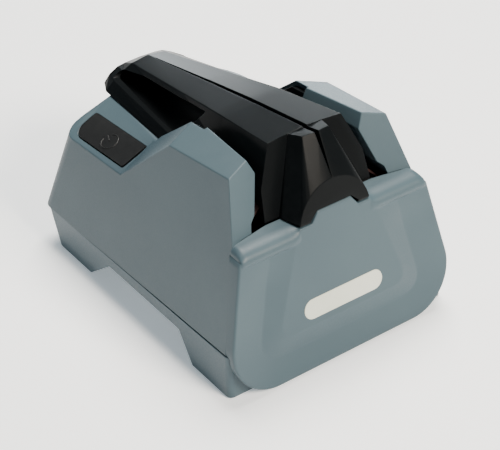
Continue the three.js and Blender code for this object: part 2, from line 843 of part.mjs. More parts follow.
function trapezoid(lowHalfWidth, lowHeight, topHalfWidth, topHeight, round) {
  return outline([
    [-lowHalfWidth, lowHeight, round],
    [lowHalfWidth, lowHeight, round],
    [topHalfWidth, topHeight],
    [-topHalfWidth, topHeight],
  ]);
}

// The space between two planes that lean like the cover's front, given by their distances behind it.
function leaningSlab(from, to) {
  const at = (height, behind) => [coverFrontAt(height) + behind, height];
  const [low, high] = [-overrun, nose.topHeight + overrun];
  return across(outline([at(low, from), at(high, from), at(high, to), at(low, to)]), -reach, reach);
}

function coverForm(inset, bottom) {
  const halfWidth = (height) => cover.floorHalfWidth - cover.sideLeanShare * height - inset;
  const top = cover.topHeight - inset;
  const face = trapezoid(halfWidth(bottom), bottom, halfWidth(top), top, cover.cornerRound - inset);
  const backHigh = tower.footAt - clearance;
  const backLow = backHigh - housing.frontLeanShare * (tower.footHeight - base.seamHeight);
  const open = inset > 0 ? overrun : 0;
  const roll = [
    [coverFrontAt(cover.rollFoot), cover.rollFoot],
    [coverFrontAt(cover.rollHeight) - cover.rollProud, cover.rollHeight],
  ];
  const side = outline([
    [coverFrontAt(bottom) + inset, bottom],
    ...(inset > 0 ? [] : roll),
    [coverFrontAt(top) + inset, top, cover.rollRadius],
    [backHigh + open, top],
    [backLow + open, base.seamHeight + clearance],
    [base.frontAt - clearance + open, base.seamHeight + clearance],
    [base.frontAt - clearance + open, bottom],
  ]);
  return lengthwise(face, -overrun, tower.topAt).intersect(across(side, -reach, reach));
}

function badgeShape(grown, from, to) {
  const half = badge.length / 2 + grown;
  const low = badge.centreHeight - badge.height / 2 - grown;
  const high = badge.centreHeight + badge.height / 2 + grown;
  const round = badge.height / 2 + grown - clearance / 2;
  const pill = outline([[-half, low, round], [half, low, round], [half, high, round], [-half, high, round]]);
  return lengthwise(pill, -overrun, tower.topAt).intersect(leaningSlab(from, to));
}

// An outline like the cover's, drawn on a plane that leans like its front.
function coverRing(lowHalfWidth, low, topHalfWidth, round, depth) {
  const points = trapezoid(lowHalfWidth, low, topHalfWidth, cover.contourTop, round);
  return points.map((p) => [p.x, yAt(coverFrontAt(p.y) + depth), p.y]);
}

// What is cut from the face round the raised panel, below the rolls.
function valleyBlock() {
  const c = cover;
  const low = c.bottomHeight + c.edgeLand;
  const halfWidth = (height) => c.floorHalfWidth - c.sideLeanShare * height - c.edgeLand;
  const edge = (depth) =>
    coverRing(halfWidth(low), low, halfWidth(c.contourTop), c.cornerRound - c.edgeLand, depth);
  const valley = (depth) => coverRing(c.valleyLow, c.valleyLowHeight, c.valleyTop, c.valleyRound, depth);
  const panel = (depth) => coverRing(c.panelLow, c.panelLowHeight, c.panelTop, c.panelRound, depth);
  const dish = loft([edge(-overrun), edge(0), valley(c.valleyDepth)], "y");
  const raised = loft([panel(-2 * overrun), panel(0), valley(c.valleyDepth), valley(2 * c.valleyDepth)], "y");
  return minus(dish, raised, block(-reach, reach, -reach, reach, c.rollFoot, nose.topHeight));
}

function makeCover() {
  const c = cover;
  const shell = coverForm(0, c.bottomHeight).subtract(coverForm(c.wall, c.bottomHeight + c.wall));
  const tongue = lengthwise(
    outline([
      [-c.tongueFoot, c.topHeight - c.wall],
      [c.tongueFoot, c.topHeight - c.wall],
      [c.tongueFoot, nose.archHeight - clearance],
      [c.tongueHalfWidth, c.tongueHeight],
      [-c.tongueHalfWidth, c.tongueHeight],
      [-c.tongueFoot, nose.archHeight - clearance],
    ]),
    -overrun,
    tower.topAt,
  ).intersect(leaningSlab(0, c.wall));
  const hooks = [sides.left, sides.right].map((side) => {
    const x = side * c.hookOffset;
    const from = coverFrontAt(c.hookHeight) + c.wall / 2;
    const to = base.frontAt + c.hookLength;
    return block(x - c.hookWidth / 2, x + c.hookWidth / 2, from, to, c.hookHeight, c.hookHeight + c.hookThickness);
  });
  return minus(
    union(shell, tongue, ...hooks),
    valleyBlock(),
    badgeShape(clearance, -overrun, badge.thickness - badge.proud + clearance),
  );
}

// Knife guide

const guideBottom = housing.saddleHeight + clearance;

function stationAt(at) {
  const next = guide.sections.findIndex((section) => section.at >= at);
  const from = guide.sections[next - 1];
  const to = guide.sections[next];
  const share = (at - from.at) / (to.at - from.at);
  return { edgeHeight: from.edgeHeight + share * (to.edgeHeight - from.edgeHeight), at };
}

// The body's section at one station, from the ridge down one side and up the other.
function guideRing(section, inset, bottom) {
  const s = section;
  const half = [
    [0, s.ridgeHeight - inset],
    [s.edgeHalfWidth - inset / 2, s.edgeHeight - inset],
    [s.upperHalfWidth - inset, s.upperHeight - inset / 2],
    [s.lowerHalfWidth - inset, s.lowerHeight - inset / 2],
    [s.railHalfWidth - inset, guideBottom],
    [s.railHalfWidth - inset, bottom],
  ];
  const mirrored = half.slice(1).reverse().map(([x, height]) => [-x, height]);
  return [...half, ...mirrored].map(([x, height]) => [x, yAt(s.at), height]);
}

// The nose and the wings in front of the body, as one convex block.
function noseBlock(inset) {
  const n = nose;
  const points = [];
  const put = (x, at, height) => {
    [sides.left, sides.right].forEach((side) => points.push(new THREE.Vector3(side * x, yAt(at), height)));
  };
  const low = guideBottom + (inset > 0 ? -overrun : 0);
  put(n.topHalfWidth - inset / 2, n.edgeAt + inset, n.edgeHeight - inset);
  put(0, n.topAt + inset, n.topHeight - inset);
  put(n.rootHalfWidth - inset / 2, frontSection.at, (frontSection.edgeHeight + frontSection.ridgeHeight) / 2 - inset);
  put(n.flankHalfWidth - inset, n.flankAt + inset, low);
  put(n.flankHalfWidth - inset, frontSection.at, low);
  const radius = n.archRadius - inset;
  const lowest = Math.asin((n.archHeight - n.archCentre) / radius);
  for (let k = 0; k <= n.archSteps; k++) {
    const angle = lowest + ((Math.PI - 2 * lowest) * k) / n.archSteps;
    const height = n.archCentre + radius * Math.sin(angle);
    points.push(new THREE.Vector3(radius * Math.cos(angle), yAt(coverFrontAt(height) + inset), height));
  }
  put(radius * Math.cos(lowest), coverFrontAt(low) + inset + clearance, low);
  return solid(new ConvexGeometry(points));
}

// The wings: the solid between the nose and the sides of the body, under a front face that leans back.
function wingBlock(inset) {
  const w = wing;
  const { at, edgeHalfWidth, edgeHeight, ridgeHeight, upperHalfWidth, upperHeight, railHalfWidth } = frontSection;
  const low = guideBottom + (inset > 0 ? -overrun : 0);
  const shoulderShare = (w.shoulderHeight - guideBottom) / (edgeHeight - guideBottom);
  const shoulderAt = w.footAt + (at - w.footAt) * shoulderShare;
  const points = [];
  const put = (x, behind, height) => {
    [sides.left, sides.right].forEach((side) => points.push(new THREE.Vector3(side * x, yAt(behind), height)));
  };
  put(edgeHalfWidth - inset / 2, at, edgeHeight - inset);
  put(nose.rootHalfWidth, at, (edgeHeight + ridgeHeight) / 2 - inset);
  put(w.shoulderHalfWidth - inset, shoulderAt + inset, w.shoulderHeight - inset / 2);
  put(upperHalfWidth - inset, at, upperHeight - inset / 2);
  put(w.footHalfWidth - inset, w.footAt + inset, low);
  put(railHalfWidth - inset, at, low);
  return solid(new ConvexGeometry(points));
}

function windowCut(side) {
  const g = guide;
  const railTop = guideBottom + g.railHeight;
  const along = [g.windowAt, ...g.sections.map((section) => section.at)].filter((at) => at >= g.windowAt);
  const strip = along.filter((at) => at < windowBackAt - 2 * g.windowRound);
  const points = outline([
    [g.windowAt + g.windowSlant, railTop],
    [windowBackAt, railTop, g.windowRound],
    [windowBackAt, stationAt(windowBackAt).edgeHeight - g.stripHeightBack, g.windowRound],
    ...strip.reverse().map((at) => [at, stationAt(at).edgeHeight - g.stripHeight]),
  ]);
  const inner = frontSection.edgeHalfWidth / 4;
  return side < 0 ? across(points, -reach, -inner) : across(points, inner, reach);
}

function finBlock(side) {
  const g = guide;
  const near = side * fin.halfWidth;
  const far = side * (fin.halfWidth + fin.width);
  const low = guideBottom;
  const slab = block(Math.min(near, far), Math.max(near, far), fin.at, fin.endAt, low, nose.topHeight);
  return minus(slab, towerTopCut(side, fin.sunk), chamferCut(side, fin.sunk));
}

function makeGuide() {
  const g = guide;
  const n = nose;
  const inset = g.wall;
  const low = guideBottom - overrun;
  const body = loft(g.sections.map((section) => guideRing(section, 0, guideBottom - clearance)), "y");
  const last = g.sections.length - 1;
  const stepEnds = [fin.at, fin.at + fin.width / 2];
  const hollow = g.sections.map((section, i) => {
    const moved = stepEnds.includes(section.at) ? inset : 0;
    const shift = i === 0 ? -clearance : i === last ? -inset : moved;
    return { ...section, at: section.at + shift };
  });
  const lowered = beyond(0, 0, guideBottom, 0, 0, -1);
  const outer = minus(union(body, noseBlock(0), wingBlock(0)), lowered);
  const inner = union(
    loft(hollow.map((section) => guideRing(section, inset, low)), "y"),
    noseBlock(inset).intersect(beyond(0, wing.footAt, 0, 0, 1, 0)),
    wingBlock(inset),
  );
  const floor = block(-reach, reach, g.floorAt, overallDepth, guideBottom - clearance, guideBottom + g.floorThickness);
  const tongueCut = lengthwise(
    outline([
      [-cover.tongueFoot - clearance, low],
      [cover.tongueFoot + clearance, low],
      [cover.tongueFoot + clearance, n.archHeight],
      [cover.tongueHalfWidth + clearance, cover.tongueHeight + clearance],
      [-cover.tongueHalfWidth - clearance, cover.tongueHeight + clearance],
      [-cover.tongueFoot - clearance, n.archHeight],
    ]),
    0,
    coverFrontAt(cover.tongueHeight) + cover.wall + clearance,
  );
  const slitPlan = outline([
    [-g.slitWidth / 2, 0],
    [g.slitWidth / 2, 0],
    [g.slitWidth / 2, g.slitTaperAt],
    [0, slitEndAt],
    [-g.slitWidth / 2, g.slitTaperAt],
  ]);
  const halfSlit = g.slitWidth / 2;
  const vee = [[0, n.archCentre + n.archRadius], [halfSlit, n.topHeight], [-halfSlit, n.topHeight]];
  const slitFront = lengthwise(outline(vee), 0, frontSection.at + clearance);
  const slitBack = upright(slitPlan, n.slitFootHeight, n.topHeight + overrun).intersect(
    beyond(0, frontSection.at, 0, 0, 1, 0),
  );
  const tunnelRadius = pulley.radius + pulley.crown + clearance + belt.thickness + belt.tunnel;
  const beltTunnel = lengthwise(bandOutline(tunnelRadius), belt.frontAt - belt.edgeGap, bayBackAt);
  return minus(
    union(outer.subtract(inner.subtract(floor)), finBlock(sides.left), finBlock(sides.right)),
    tongueCut,
    slitFront,
    slitBack,
    windowCut(sides.left),
    windowCut(sides.right),
    beltTunnel,
  );
}

// Belt drive

const pulleyCentres = [
  [0, pulley.apexHeight],
  [-pulley.sideOffset, pulley.sideHeight],
  [pulley.sideOffset, pulley.sideHeight],
];

// The outline of a band laid round the three pulleys at a given distance from their centres.
function bandOutline(radius) {
  const points = [];
  pulleyCentres.forEach(([x, height], i) => {
    const [lastX, lastHeight] = pulleyCentres.at(i - 1);
    const [nextX, nextHeight] = pulleyCentres[(i + 1) % pulleyCentres.length];
    const start = Math.atan2(height - lastHeight, x - lastX) - Math.PI / 2;
    const end = Math.atan2(nextHeight - height, nextX - x) - Math.PI / 2;
    const sweep = (end - start + 4 * Math.PI) % (2 * Math.PI);
    for (let k = 0; k <= 2 * arcSteps; k++) {
      const angle = start + (sweep * k) / (2 * arcSteps);
      points.push(new THREE.Vector2(x + radius * Math.cos(angle), height + radius * Math.sin(angle)));
    }
  });
  return points;
}

function makeBelt() {
  const inside = pulley.radius + pulley.crown + clearance;
  const backAt = belt.frontAt + belt.width;
  const outer = lengthwise(bandOutline(inside + belt.thickness), belt.frontAt, backAt);
  return outer.subtract(lengthwise(bandOutline(inside), belt.frontAt - overrun, backAt + overrun));
}

const pulleyAt = belt.frontAt + belt.width / 2 - pulley.width / 2;

function makePulley(x, height, bore) {
  const rim = pulley.radius;
  const profile = [
    [bore, 0],
    [rim, 0],
    [rim + pulley.crown, pulley.width / 2],
    [rim, pulley.width],
    [bore, pulley.width],
    [bore, 0],
  ];
  return turned(profile, x, height, pulleyAt);
}

function makeBearing(x, height) {
  const inner = pulley.bearingRadius - pulley.bearingWall;
  return turned(ring(pulley.bearingRadius, inner, 0, pulley.width), x, height, pulleyAt, pinSides);
}

// A headed axle that holds a pulley from the front.
function makeAxle(x, height, end) {
  const start = pulleyAt - clearance - pulley.headLength;
  const profile = [
    [0, 0],
    [pulley.headRadius, 0],
    [pulley.headRadius, pulley.headLength],
    [pulley.axleRadius, pulley.headLength],
    [pulley.axleRadius, end - start],
    [0, end - start],
  ];
  return turned(profile, x, height, start, pinSides);
}

function makeChassis() {
  const c = chassis;
  const plate = lengthwise(
    outline([
      [-c.halfWidth, c.bottomHeight],
      [c.halfWidth, c.bottomHeight],
      [c.halfWidth, c.shoulderHeight],
      [c.neckHalfWidth, c.neckHeight],
      [c.waistHalfWidth, c.waistHeight],
      [c.topHalfWidth, c.topHeight],
      [-c.topHalfWidth, c.topHeight],
      [-c.waistHalfWidth, c.waistHeight],
      [-c.neckHalfWidth, c.neckHeight],
      [-c.halfWidth, c.shoulderHeight],
    ]),
    c.frontAt,
    chassisBackAt,
  );
  const flange = block(
    -c.flangeHalfWidth,
    c.flangeHalfWidth,
    chassisBackAt - c.thickness / 2,
    chassisBackAt + c.flangeLength,
    c.bottomHeight,
    c.bottomHeight + c.flangeThickness,
  );
  const through = (x, height, radius) => rod(x, height, radius, c.frontAt - overrun, chassisBackAt + overrun);
  const screwHoles = [sides.left, sides.right].map((side) =>
    post(side * c.screwOffset, flangeScrewAt, screw.radius + clearance, 0, c.bottomHeight + overrun),
  );
  const motorHoles = [sides.left, sides.right].map((side) =>
    through(pulley.sideOffset, pulley.sideHeight + side * motor.screwOffset, screw.radius + clearance),
  );
  const hookEnd = chassisBackAt - c.thickness / 2;
  const hook = rod(chassisHook.x, chassisHook.z, tensioner.hookRadius, armAt - tensioner.hookLength, hookEnd);
  return minus(
    union(plate, flange, hook),
    through(0, pulley.apexHeight, pulley.axleRadius + clearance),
    through(pulley.sideOffset, pulley.sideHeight, motor.bossRadius + clearance),
    through(tensioner.pivotOffset, tensioner.pivotHeight, tensioner.pivotRadius + clearance),
    ...motorHoles,
    ...screwHoles,
  );
}

const tensionPivot = new THREE.Vector3(tensioner.pivotOffset, 0, tensioner.pivotHeight);
const idlerCentre = new THREE.Vector3(-pulley.sideOffset, 0, pulley.sideHeight);
const armDirection = idlerCentre.clone().sub(tensionPivot).normalize();
const armSide = new THREE.Vector3(armDirection.z, 0, -armDirection.x);
const armAt = chassis.frontAt - clearance - tensioner.armThickness;
const springSide = armSide.clone().negate();
const armHook = tensionPivot
  .clone()
  .addScaledVector(armDirection, tensioner.springReach)
  .addScaledVector(springSide, tensioner.armHalfWidth - tensioner.hookRadius);
const hookReach = tensioner.springLength + 2 * (tensioner.hookRadius + clearance);
const chassisHook = armHook.clone().addScaledVector(springSide, hookReach);
const springAt = armAt - clearance - tensioner.springRadius - tensioner.springWire;

function makeTensionArm() {
  const t = tensioner;
  const ends = [tensionPivot, idlerCentre];
  const points = ends.flatMap((end, i) => {
    const lead = Math.atan2(armDirection.z, armDirection.x) + (i === 0 ? Math.PI : 0);
    return Array.from({ length: 2 * arcSteps + 1 }, (_, k) => {
      const angle = lead - Math.PI / 2 + (Math.PI * k) / (2 * arcSteps);
      return new THREE.Vector2(end.x + t.armHalfWidth * Math.cos(angle), end.z + t.armHalfWidth * Math.sin(angle));
    });
  });
  const plate = lengthwise(points, armAt, armAt + t.armThickness);
  const hook = rod(armHook.x, armHook.z, t.hookRadius, armAt - t.hookLength, armAt + t.armThickness / 2);
  const through = (x, height, radius) => rod(x, height, radius, armAt - overrun, armAt + t.armThickness + overrun);
  return minus(
    plate.add(hook),
    through(tensionPivot.x, tensionPivot.z, t.pivotRadius + clearance),
    through(idlerCentre.x, idlerCentre.z, pulley.axleRadius + clearance),
  );
}

function makeTensionPivot() {
  const t = tensioner;
  const start = armAt - clearance - pulley.headLength;
  const end = chassisBackAt - start;
  const profile = [
    [0, 0],
    [pulley.headRadius, 0],
    [pulley.headRadius, pulley.headLength],
    [t.pivotRadius, pulley.headLength],
    [t.pivotRadius, end],
    [0, end],
  ];
  return turned(profile, tensionPivot.x, tensionPivot.z, start, pinSides);
}

// Pull spring between a hook on the arm and a hook on the chassis.
function makeTensionSpring() {
  const t = tensioner;
  const start = armHook.clone().addScaledVector(springSide, t.hookRadius + clearance + t.springWire);
  const placed = new THREE.Matrix4().compose(
    new THREE.Vector3(start.x, yAt(springAt), start.z),
    new THREE.Quaternion().setFromUnitVectors(Z, springSide),
    new THREE.Vector3(1, 1, 1),
  );
  const length = t.springLength - 2 * t.springWire;
  return solid(geometryOf(coil(t.springRadius, t.springWire, length, t.springCurls)).applyMatrix4(placed));
}

// Motor

const motorAt = chassisBackAt + clearance;

function makeMotorCan() {
  const m = motor;
  const bore = m.shaftRadius + clearance;
  const profile = [
    [bore, -m.bossLength],
    [m.bossRadius, -m.bossLength],
    [m.bossRadius, 0],
    [m.radius, 0],
    [m.radius, m.length],
    [bore, m.length],
    [bore, -m.bossLength],
  ];
  const holes = [sides.left, sides.right].map((side) =>
    rod(
      pulley.sideOffset,
      pulley.sideHeight + side * m.screwOffset,
      screw.radius + clearance,
      motorAt - overrun,
      motorAt + motorScrewLength,
    ),
  );
  return minus(turned(profile, pulley.sideOffset, pulley.sideHeight, motorAt), ...holes);
}

function makeMotorCap() {
  const m = motor;
  const bore = m.shaftRadius + clearance;
  const start = motorAt + m.length + clearance;
  const cap = turned(ring(m.radius - clearance, bore, 0, m.capLength), pulley.sideOffset, pulley.sideHeight, start);
  const terminals = [sides.left, sides.right].map((side) => {
    const x = pulley.sideOffset + side * m.terminalOffset;
    const end = start + m.capLength + m.terminalLength;
    const half = m.terminalWidth / 2;
    const from = start + m.capLength / 2;
    return block(x - half, x + half, from, end, pulley.sideHeight - half / 2, pulley.sideHeight + half / 2);
  });
  return union(cap, ...terminals);
}

function makeMotorShaft() {
  const end = motorAt + motor.length + motor.capLength + motor.shaftTail;
  return rod(pulley.sideOffset, pulley.sideHeight, motor.shaftRadius, pulleyAt, end);
}

// Button, switch and board, in the deck's frame

const buttonTop = button.proud;
const buttonBottom = buttonTop - button.thickness;
const boardTop = -board.depth;
const switchTop = boardTop + board.switchHeight;
const stemBottom = switchTop + board.plungerHeight + clearance;

function makeButton() {
  const cap = deckPlate(buttonOutline(0), buttonBottom, buttonTop);
  const rimTop = -wall - button.travel - clearance;
  const rim = deckPlate(buttonOutline(button.rimWidth), rimTop - button.rimDepth, rimTop);
  const neck = deckPlate(buttonOutline(-button.rimWidth), rimTop - clearance, buttonBottom + clearance);
  const stem = deckPost(0, 0, button.stemRadius, stemBottom, rimTop - clearance);
  return union(cap, neck, rim, stem);
}

function makeButtonSpring() {
  const top = -wall - button.travel - 2 * clearance - button.rimDepth - button.springWire;
  const bottom = switchTop + clearance + button.springWire;
  const curl = geometryOf(coil(button.springRadius, button.springWire, top - bottom, button.springCurls));
  return onDeck(curl.translate(0, 0, bottom));
}

function makeSwitch() {
  const half = board.switchSize / 2;
  const body = deckPlate(rectangle(-half, half, -half, half), boardTop + clearance, switchTop);
  const well = switchTop - board.plungerDepth - button.travel - clearance;
  return body.subtract(deckPost(0, 0, board.plungerRadius + clearance, well, switchTop + overrun));
}

function makePlunger() {
  const bottom = switchTop - board.plungerDepth;
  return deckPost(0, 0, board.plungerRadius, bottom, switchTop + board.plungerHeight);
}

function makeBoard() {
  const plate = deckPlate(
    rectangle(-board.outerHalfWidth, board.innerHalfWidth, -board.length / 2, board.length / 2),
    boardTop - board.thickness,
    boardTop,
  );
  const holes = [-board.postOffset, board.postOffset].map((along) =>
    deckPost(board.postAcross, along, screw.radius + clearance, boardTop - overrun, boardTop + overrun),
  );
  return minus(plate, ...holes);
}

// Inlet, screws and leads

function makeJack() {
  const j = jack;
  const back = housingBackAt(j.height);
  const behindWall = (inset) =>
    beyond(0, housingBackLow, housing.skirtHeight, 0, 1, housing.backLeanShare, inset);
  const bored = (radius, from) => rod(j.offset, j.height, radius, from, back + overrun, roundSides);
  const barrel = bored(j.barrelRadius, back - j.length).subtract(behindWall(0));
  const flangeEnd = back - wall - j.flangeThickness;
  const flange = bored(j.flangeRadius, flangeEnd - clearance).subtract(behindWall(wall + clearance));
  const hole = bored(j.holeRadius, back - j.holeDepth);
  const pin = bored(j.pinRadius, back - j.holeDepth - clearance).subtract(behindWall(clearance));
  return minus(barrel.add(flange), hole).add(pin);
}

// A screw that points up, its head's underside at the origin.
function screwShape(length) {
  const s = screw;
  const profile = [
    [0, -s.headHeight],
    [s.headRadius, -s.headHeight],
    [s.headRadius, 0],
    [s.radius, 0],
    [s.radius, length],
    [0, length],
  ].map(([radius, along]) => new THREE.Vector2(radius, along));
  return new THREE.LatheGeometry(profile, pinSides).rotateX(Math.PI / 2);
}

function addScrews() {
  screwPlaces.forEach(([place, side, at]) => {
    const height = baseScrew.headHeight + screw.headHeight + clearance;
    const shape = screwShape(baseScrew.length - screw.headHeight - 2 * clearance);
    const lowered = shape.translate(side * baseScrewOffset, yAt(at), height - 2 * clearance);
    add("base_screw_" + place, "steel", solid(lowered));
  });
  Object.entries(sides).forEach(([name, side]) => {
    const top = chassis.bottomHeight + chassis.flangeThickness + clearance;
    const flangeScrew = screwShape(chassisScrewLength).rotateX(Math.PI);
    const placed = flangeScrew.translate(side * chassis.screwOffset, yAt(flangeScrewAt), top);
    add("chassis_screw_" + name, "steel", solid(placed));
    const height = pulley.sideHeight + side * motor.screwOffset;
    const motorScrew = screwShape(motorScrewLength).rotateX(-Math.PI / 2);
    const seated = motorScrew.translate(pulley.sideOffset, yAt(chassis.frontAt - clearance), height);
    add("motor_screw_" + (side > 0 ? "upper" : "lower"), "steel", solid(seated));
  });
  [["board_screw_front", -board.postOffset], ["board_screw_back", board.postOffset]].forEach(([name, along]) => {
    const head = boardTop - board.thickness - clearance;
    const shape = screwShape(boardScrewLength - board.thickness - 2 * clearance);
    add(name, "steel", onDeck(shape.translate(board.postAcross, along, head)));
  });
}

const leadSteps = 20;

function addLead(name, finish, points) {
  const curve = new THREE.CatmullRomCurve3(points);
  add(name, finish, tube(curve, lead.radius, leadSteps, lead.sides));
}

const place = (x, behind, height) => new THREE.Vector3(x, yAt(behind), height);

function addLeads() {
  const spacing = 2 * lead.radius + 3 * clearance;
  const jackEnd = housingBackAt(jack.height) - jack.length - clearance;
  const motorEnd = motorAt + motor.length + motor.capLength + motor.terminalLength + 2 * clearance;
  const boardUnder = (inward, along, drop) =>
    new THREE.Vector3(inward, along, boardTop - board.thickness - clearance - drop).applyMatrix4(deckFrame);
  [["red", "redLead", 0], ["black", "blackLead", 1]].forEach(([colour, finish, step]) => {
    const aside = step * spacing;
    const low = jack.height - motor.radius - aside;
    addLead("jack_lead_" + colour, finish, [
      place(jack.offset - aside, jackEnd, jack.height),
      place(jack.offset - aside, jackEnd - jack.length / 2, jack.height - aside),
      place(jack.offset / 3, jackEnd - jack.length - aside, low),
      place(button.offset / 2, jackEnd - jack.length - aside, low),
      boardUnder(aside, board.length / 3 - aside, board.switchSize),
      boardUnder(aside, board.length / 3 - aside, 0),
    ]);
    const terminal = motor.terminalOffset * (1 - 2 * step);
    addLead("motor_lead_" + colour, finish, [
      place(pulley.sideOffset + terminal, motorEnd, pulley.sideHeight),
      place(pulley.sideOffset + terminal, motorEnd + motor.terminalLength, pulley.sideHeight - aside),
      place(0, motorEnd + motor.radius - aside, low),
      place(button.offset / 2, motorEnd + motor.radius - aside, low),
      boardUnder(-aside, -board.length / 3 - aside, board.switchSize),
      boardUnder(-aside, -board.length / 3 - aside, 0),
    ]);
  });
}

// Assembly

add("upper_housing", "greyShell", makeUpperHousing());
add("base_tray", "greyShell", makeBaseTray());
padPlaces.forEach(([place, side, at]) => {
  add("foot_pad_" + place, "rubber", padShape(side, at, 0, 0, pad.thickness));
});
add("front_cover", "greyShell", makeCover());
add("badge_plate", "cream", badgeShape(0, -badge.proud, badge.thickness - badge.proud));
add("knife_guide", "blackShell", makeGuide());
add("belt_chassis", "innerPlastic", makeChassis());
add("abrasive_belt", "abrasive", makeBelt());
add("apex_pulley", "pulleyPlastic", makePulley(0, pulley.apexHeight, pulley.bearingRadius + clearance));
add("apex_bearing", "bronze", makeBearing(0, pulley.apexHeight));
add("apex_axle", "steel", makeAxle(0, pulley.apexHeight, chassisBackAt));
add("idler_pulley", "pulleyPlastic", makePulley(idlerCentre.x, idlerCentre.z, pulley.bearingRadius + clearance));
add("idler_bearing", "bronze", makeBearing(idlerCentre.x, idlerCentre.z));
add("idler_axle", "steel", makeAxle(idlerCentre.x, idlerCentre.z, armAt + tensioner.armThickness));
add("drive_pulley", "pulleyPlastic", makePulley(pulley.sideOffset, pulley.sideHeight, motor.shaftRadius + clearance));
add("tension_arm", "steel", makeTensionArm());
add("tension_pivot", "steel", makeTensionPivot());
add("tension_spring", "steel", makeTensionSpring());
add("motor_can", "steel", makeMotorCan());
add("motor_end_cap", "innerPlastic", makeMotorCap());
add("motor_shaft", "steel", makeMotorShaft());
add("power_button", "blackShell", makeButton());
add("button_spring", "steel", makeButtonSpring());
add("push_switch", "innerPlastic", makeSwitch());
add("switch_plunger", "pulleyPlastic", makePlunger());
add("control_board", "circuitBoard", makeBoard());
add("dc_jack", "innerPlastic", makeJack());
addScrews();
addLeads();

export default sharpener;
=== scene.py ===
import json
import math

import bmesh
import bpy
from mathutils import Matrix, Vector


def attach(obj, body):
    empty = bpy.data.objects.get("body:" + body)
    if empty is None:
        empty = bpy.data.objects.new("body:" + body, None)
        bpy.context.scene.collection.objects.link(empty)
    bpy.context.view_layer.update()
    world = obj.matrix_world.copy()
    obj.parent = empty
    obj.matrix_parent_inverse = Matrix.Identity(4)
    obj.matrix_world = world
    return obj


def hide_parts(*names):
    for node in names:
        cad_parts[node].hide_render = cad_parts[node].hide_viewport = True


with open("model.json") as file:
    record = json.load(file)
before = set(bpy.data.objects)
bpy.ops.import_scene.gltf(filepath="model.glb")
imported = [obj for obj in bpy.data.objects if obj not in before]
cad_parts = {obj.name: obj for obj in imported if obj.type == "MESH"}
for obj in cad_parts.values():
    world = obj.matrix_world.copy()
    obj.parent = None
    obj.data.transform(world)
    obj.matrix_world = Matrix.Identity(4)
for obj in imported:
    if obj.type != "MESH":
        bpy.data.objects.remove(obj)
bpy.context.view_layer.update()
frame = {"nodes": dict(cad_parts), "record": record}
nodes = frame["nodes"]
mm = 0.001
cadDepth = 173.0  # the whole depth, in millimetres
weldDistance = 0.000002  # in metres


def newObject(name, data):
    made = bpy.data.objects.new(name, data)
    bpy.context.scene.collection.objects.link(made)
    return made


# Camera, light and floor

cameraPlace = {
    "at": (-386.9, -539.9, 507.0),  # in millimetres
    "turn": -36.02,
    "pitch": 35.95,
    "roll": -0.72,
    "lens": 118.476,
    "sensor": 36,
    "nearest": 0.01,
}


def makeCamera(settings):
    turn, pitch, roll = (math.radians(settings[key]) for key in ("turn", "pitch", "roll"))
    back = Vector((math.sin(turn) * math.cos(pitch), -math.cos(turn) * math.cos(pitch), math.sin(pitch)))
    level = Vector((math.cos(turn), math.sin(turn), 0))
    raised = back.cross(level)
    right = math.cos(roll) * level + math.sin(roll) * raised
    up = -math.sin(roll) * level + math.cos(roll) * raised
    camera = newObject("camera", bpy.data.cameras.new("camera"))
    camera.data.lens = settings["lens"]
    camera.data.sensor_width = settings["sensor"]
    camera.data.clip_start = settings["nearest"]
    place = Matrix((right, up, back)).transposed().to_4x4()
    place.translation = Vector(settings["at"]) * mm
    camera.matrix_world = place
    bpy.context.scene.camera = camera


studio = {
    "sky": (0.62, 0.84, 1.0),
    "skyStrength": 0.20,
    "floor": (0.93, 0.93, 0.93),
    "floorRoughness": 0.9,
    "floorGlow": 0.36,
    "glowColour": (0.85, 0.95, 1.0),
    "floorSize": 6.0,
    "aim": (0, 0, 0.05),
    "lights": [
        {
            "name": "frontPanel",
            "at": (0.3, -1.35, 1.1),
            "size": (0.6, 0.6),
            "watts": 55,
            "colour": (1.0, 0.91, 0.80),
        },
        {
            "name": "topPanel",
            "at": (0.4, 0.4, 1.5),
            "size": (0.8, 0.8),
            "watts": 52,
            "colour": (1.0, 0.97, 0.92),
        },
        {
            "name": "rearPanel",
            "at": (1.0, 1.3, 0.12),
            "size": (0.9, 0.24),
            "watts": 10,
            "colour": (0.90, 0.97, 1.0),
        },
    ],
}


def makeStudio(settings):
    scene = bpy.context.scene
    scene.world = scene.world or bpy.data.worlds.new("studio")
    scene.world.use_nodes = True
    sky = scene.world.node_tree.nodes["Background"]
    sky.inputs["Color"].default_value = (*settings["sky"], 1)
    sky.inputs["Strength"].default_value = settings["skyStrength"]
    for light in settings["lights"]:
        data = bpy.data.lights.new(light["name"], "AREA")
        data.shape = "RECTANGLE"
        data.size, data.size_y = light["size"]
        data.energy = light["watts"]
        data.color = light["colour"]
        lamp = newObject(light["name"], data)
        lamp.location = light["at"]
        towards = Vector(settings["aim"]) - Vector(light["at"])
        lamp.rotation_euler = towards.to_track_quat("-Z", "Y").to_euler()
    half = settings["floorSize"] / 2
    mesh = bpy.data.meshes.new("studioFloor")
    corners = [(-half, -half, 0), (half, -half, 0), (half, half, 0), (-half, half, 0)]
    mesh.from_pydata(corners, [], [(0, 1, 2, 3)])
    surface = bpy.data.materials.new("studioFloor")
    surface.use_nodes = True
    shader = surface.node_tree.nodes["Principled BSDF"]
    shader.inputs["Base Color"].default_value = (*settings["floor"], 1)
    shader.inputs["Roughness"].default_value = settings["floorRoughness"]
    shader.inputs["Emission Color"].default_value = (*settings["glowColour"], 1)
    shader.inputs["Emission Strength"].default_value = settings["floorGlow"]
    mesh.materials.append(surface)
    newObject("studioFloor", mesh)


makeCamera(cameraPlace)
makeStudio(studio)
print("camera and studio ready")


# Node helpers

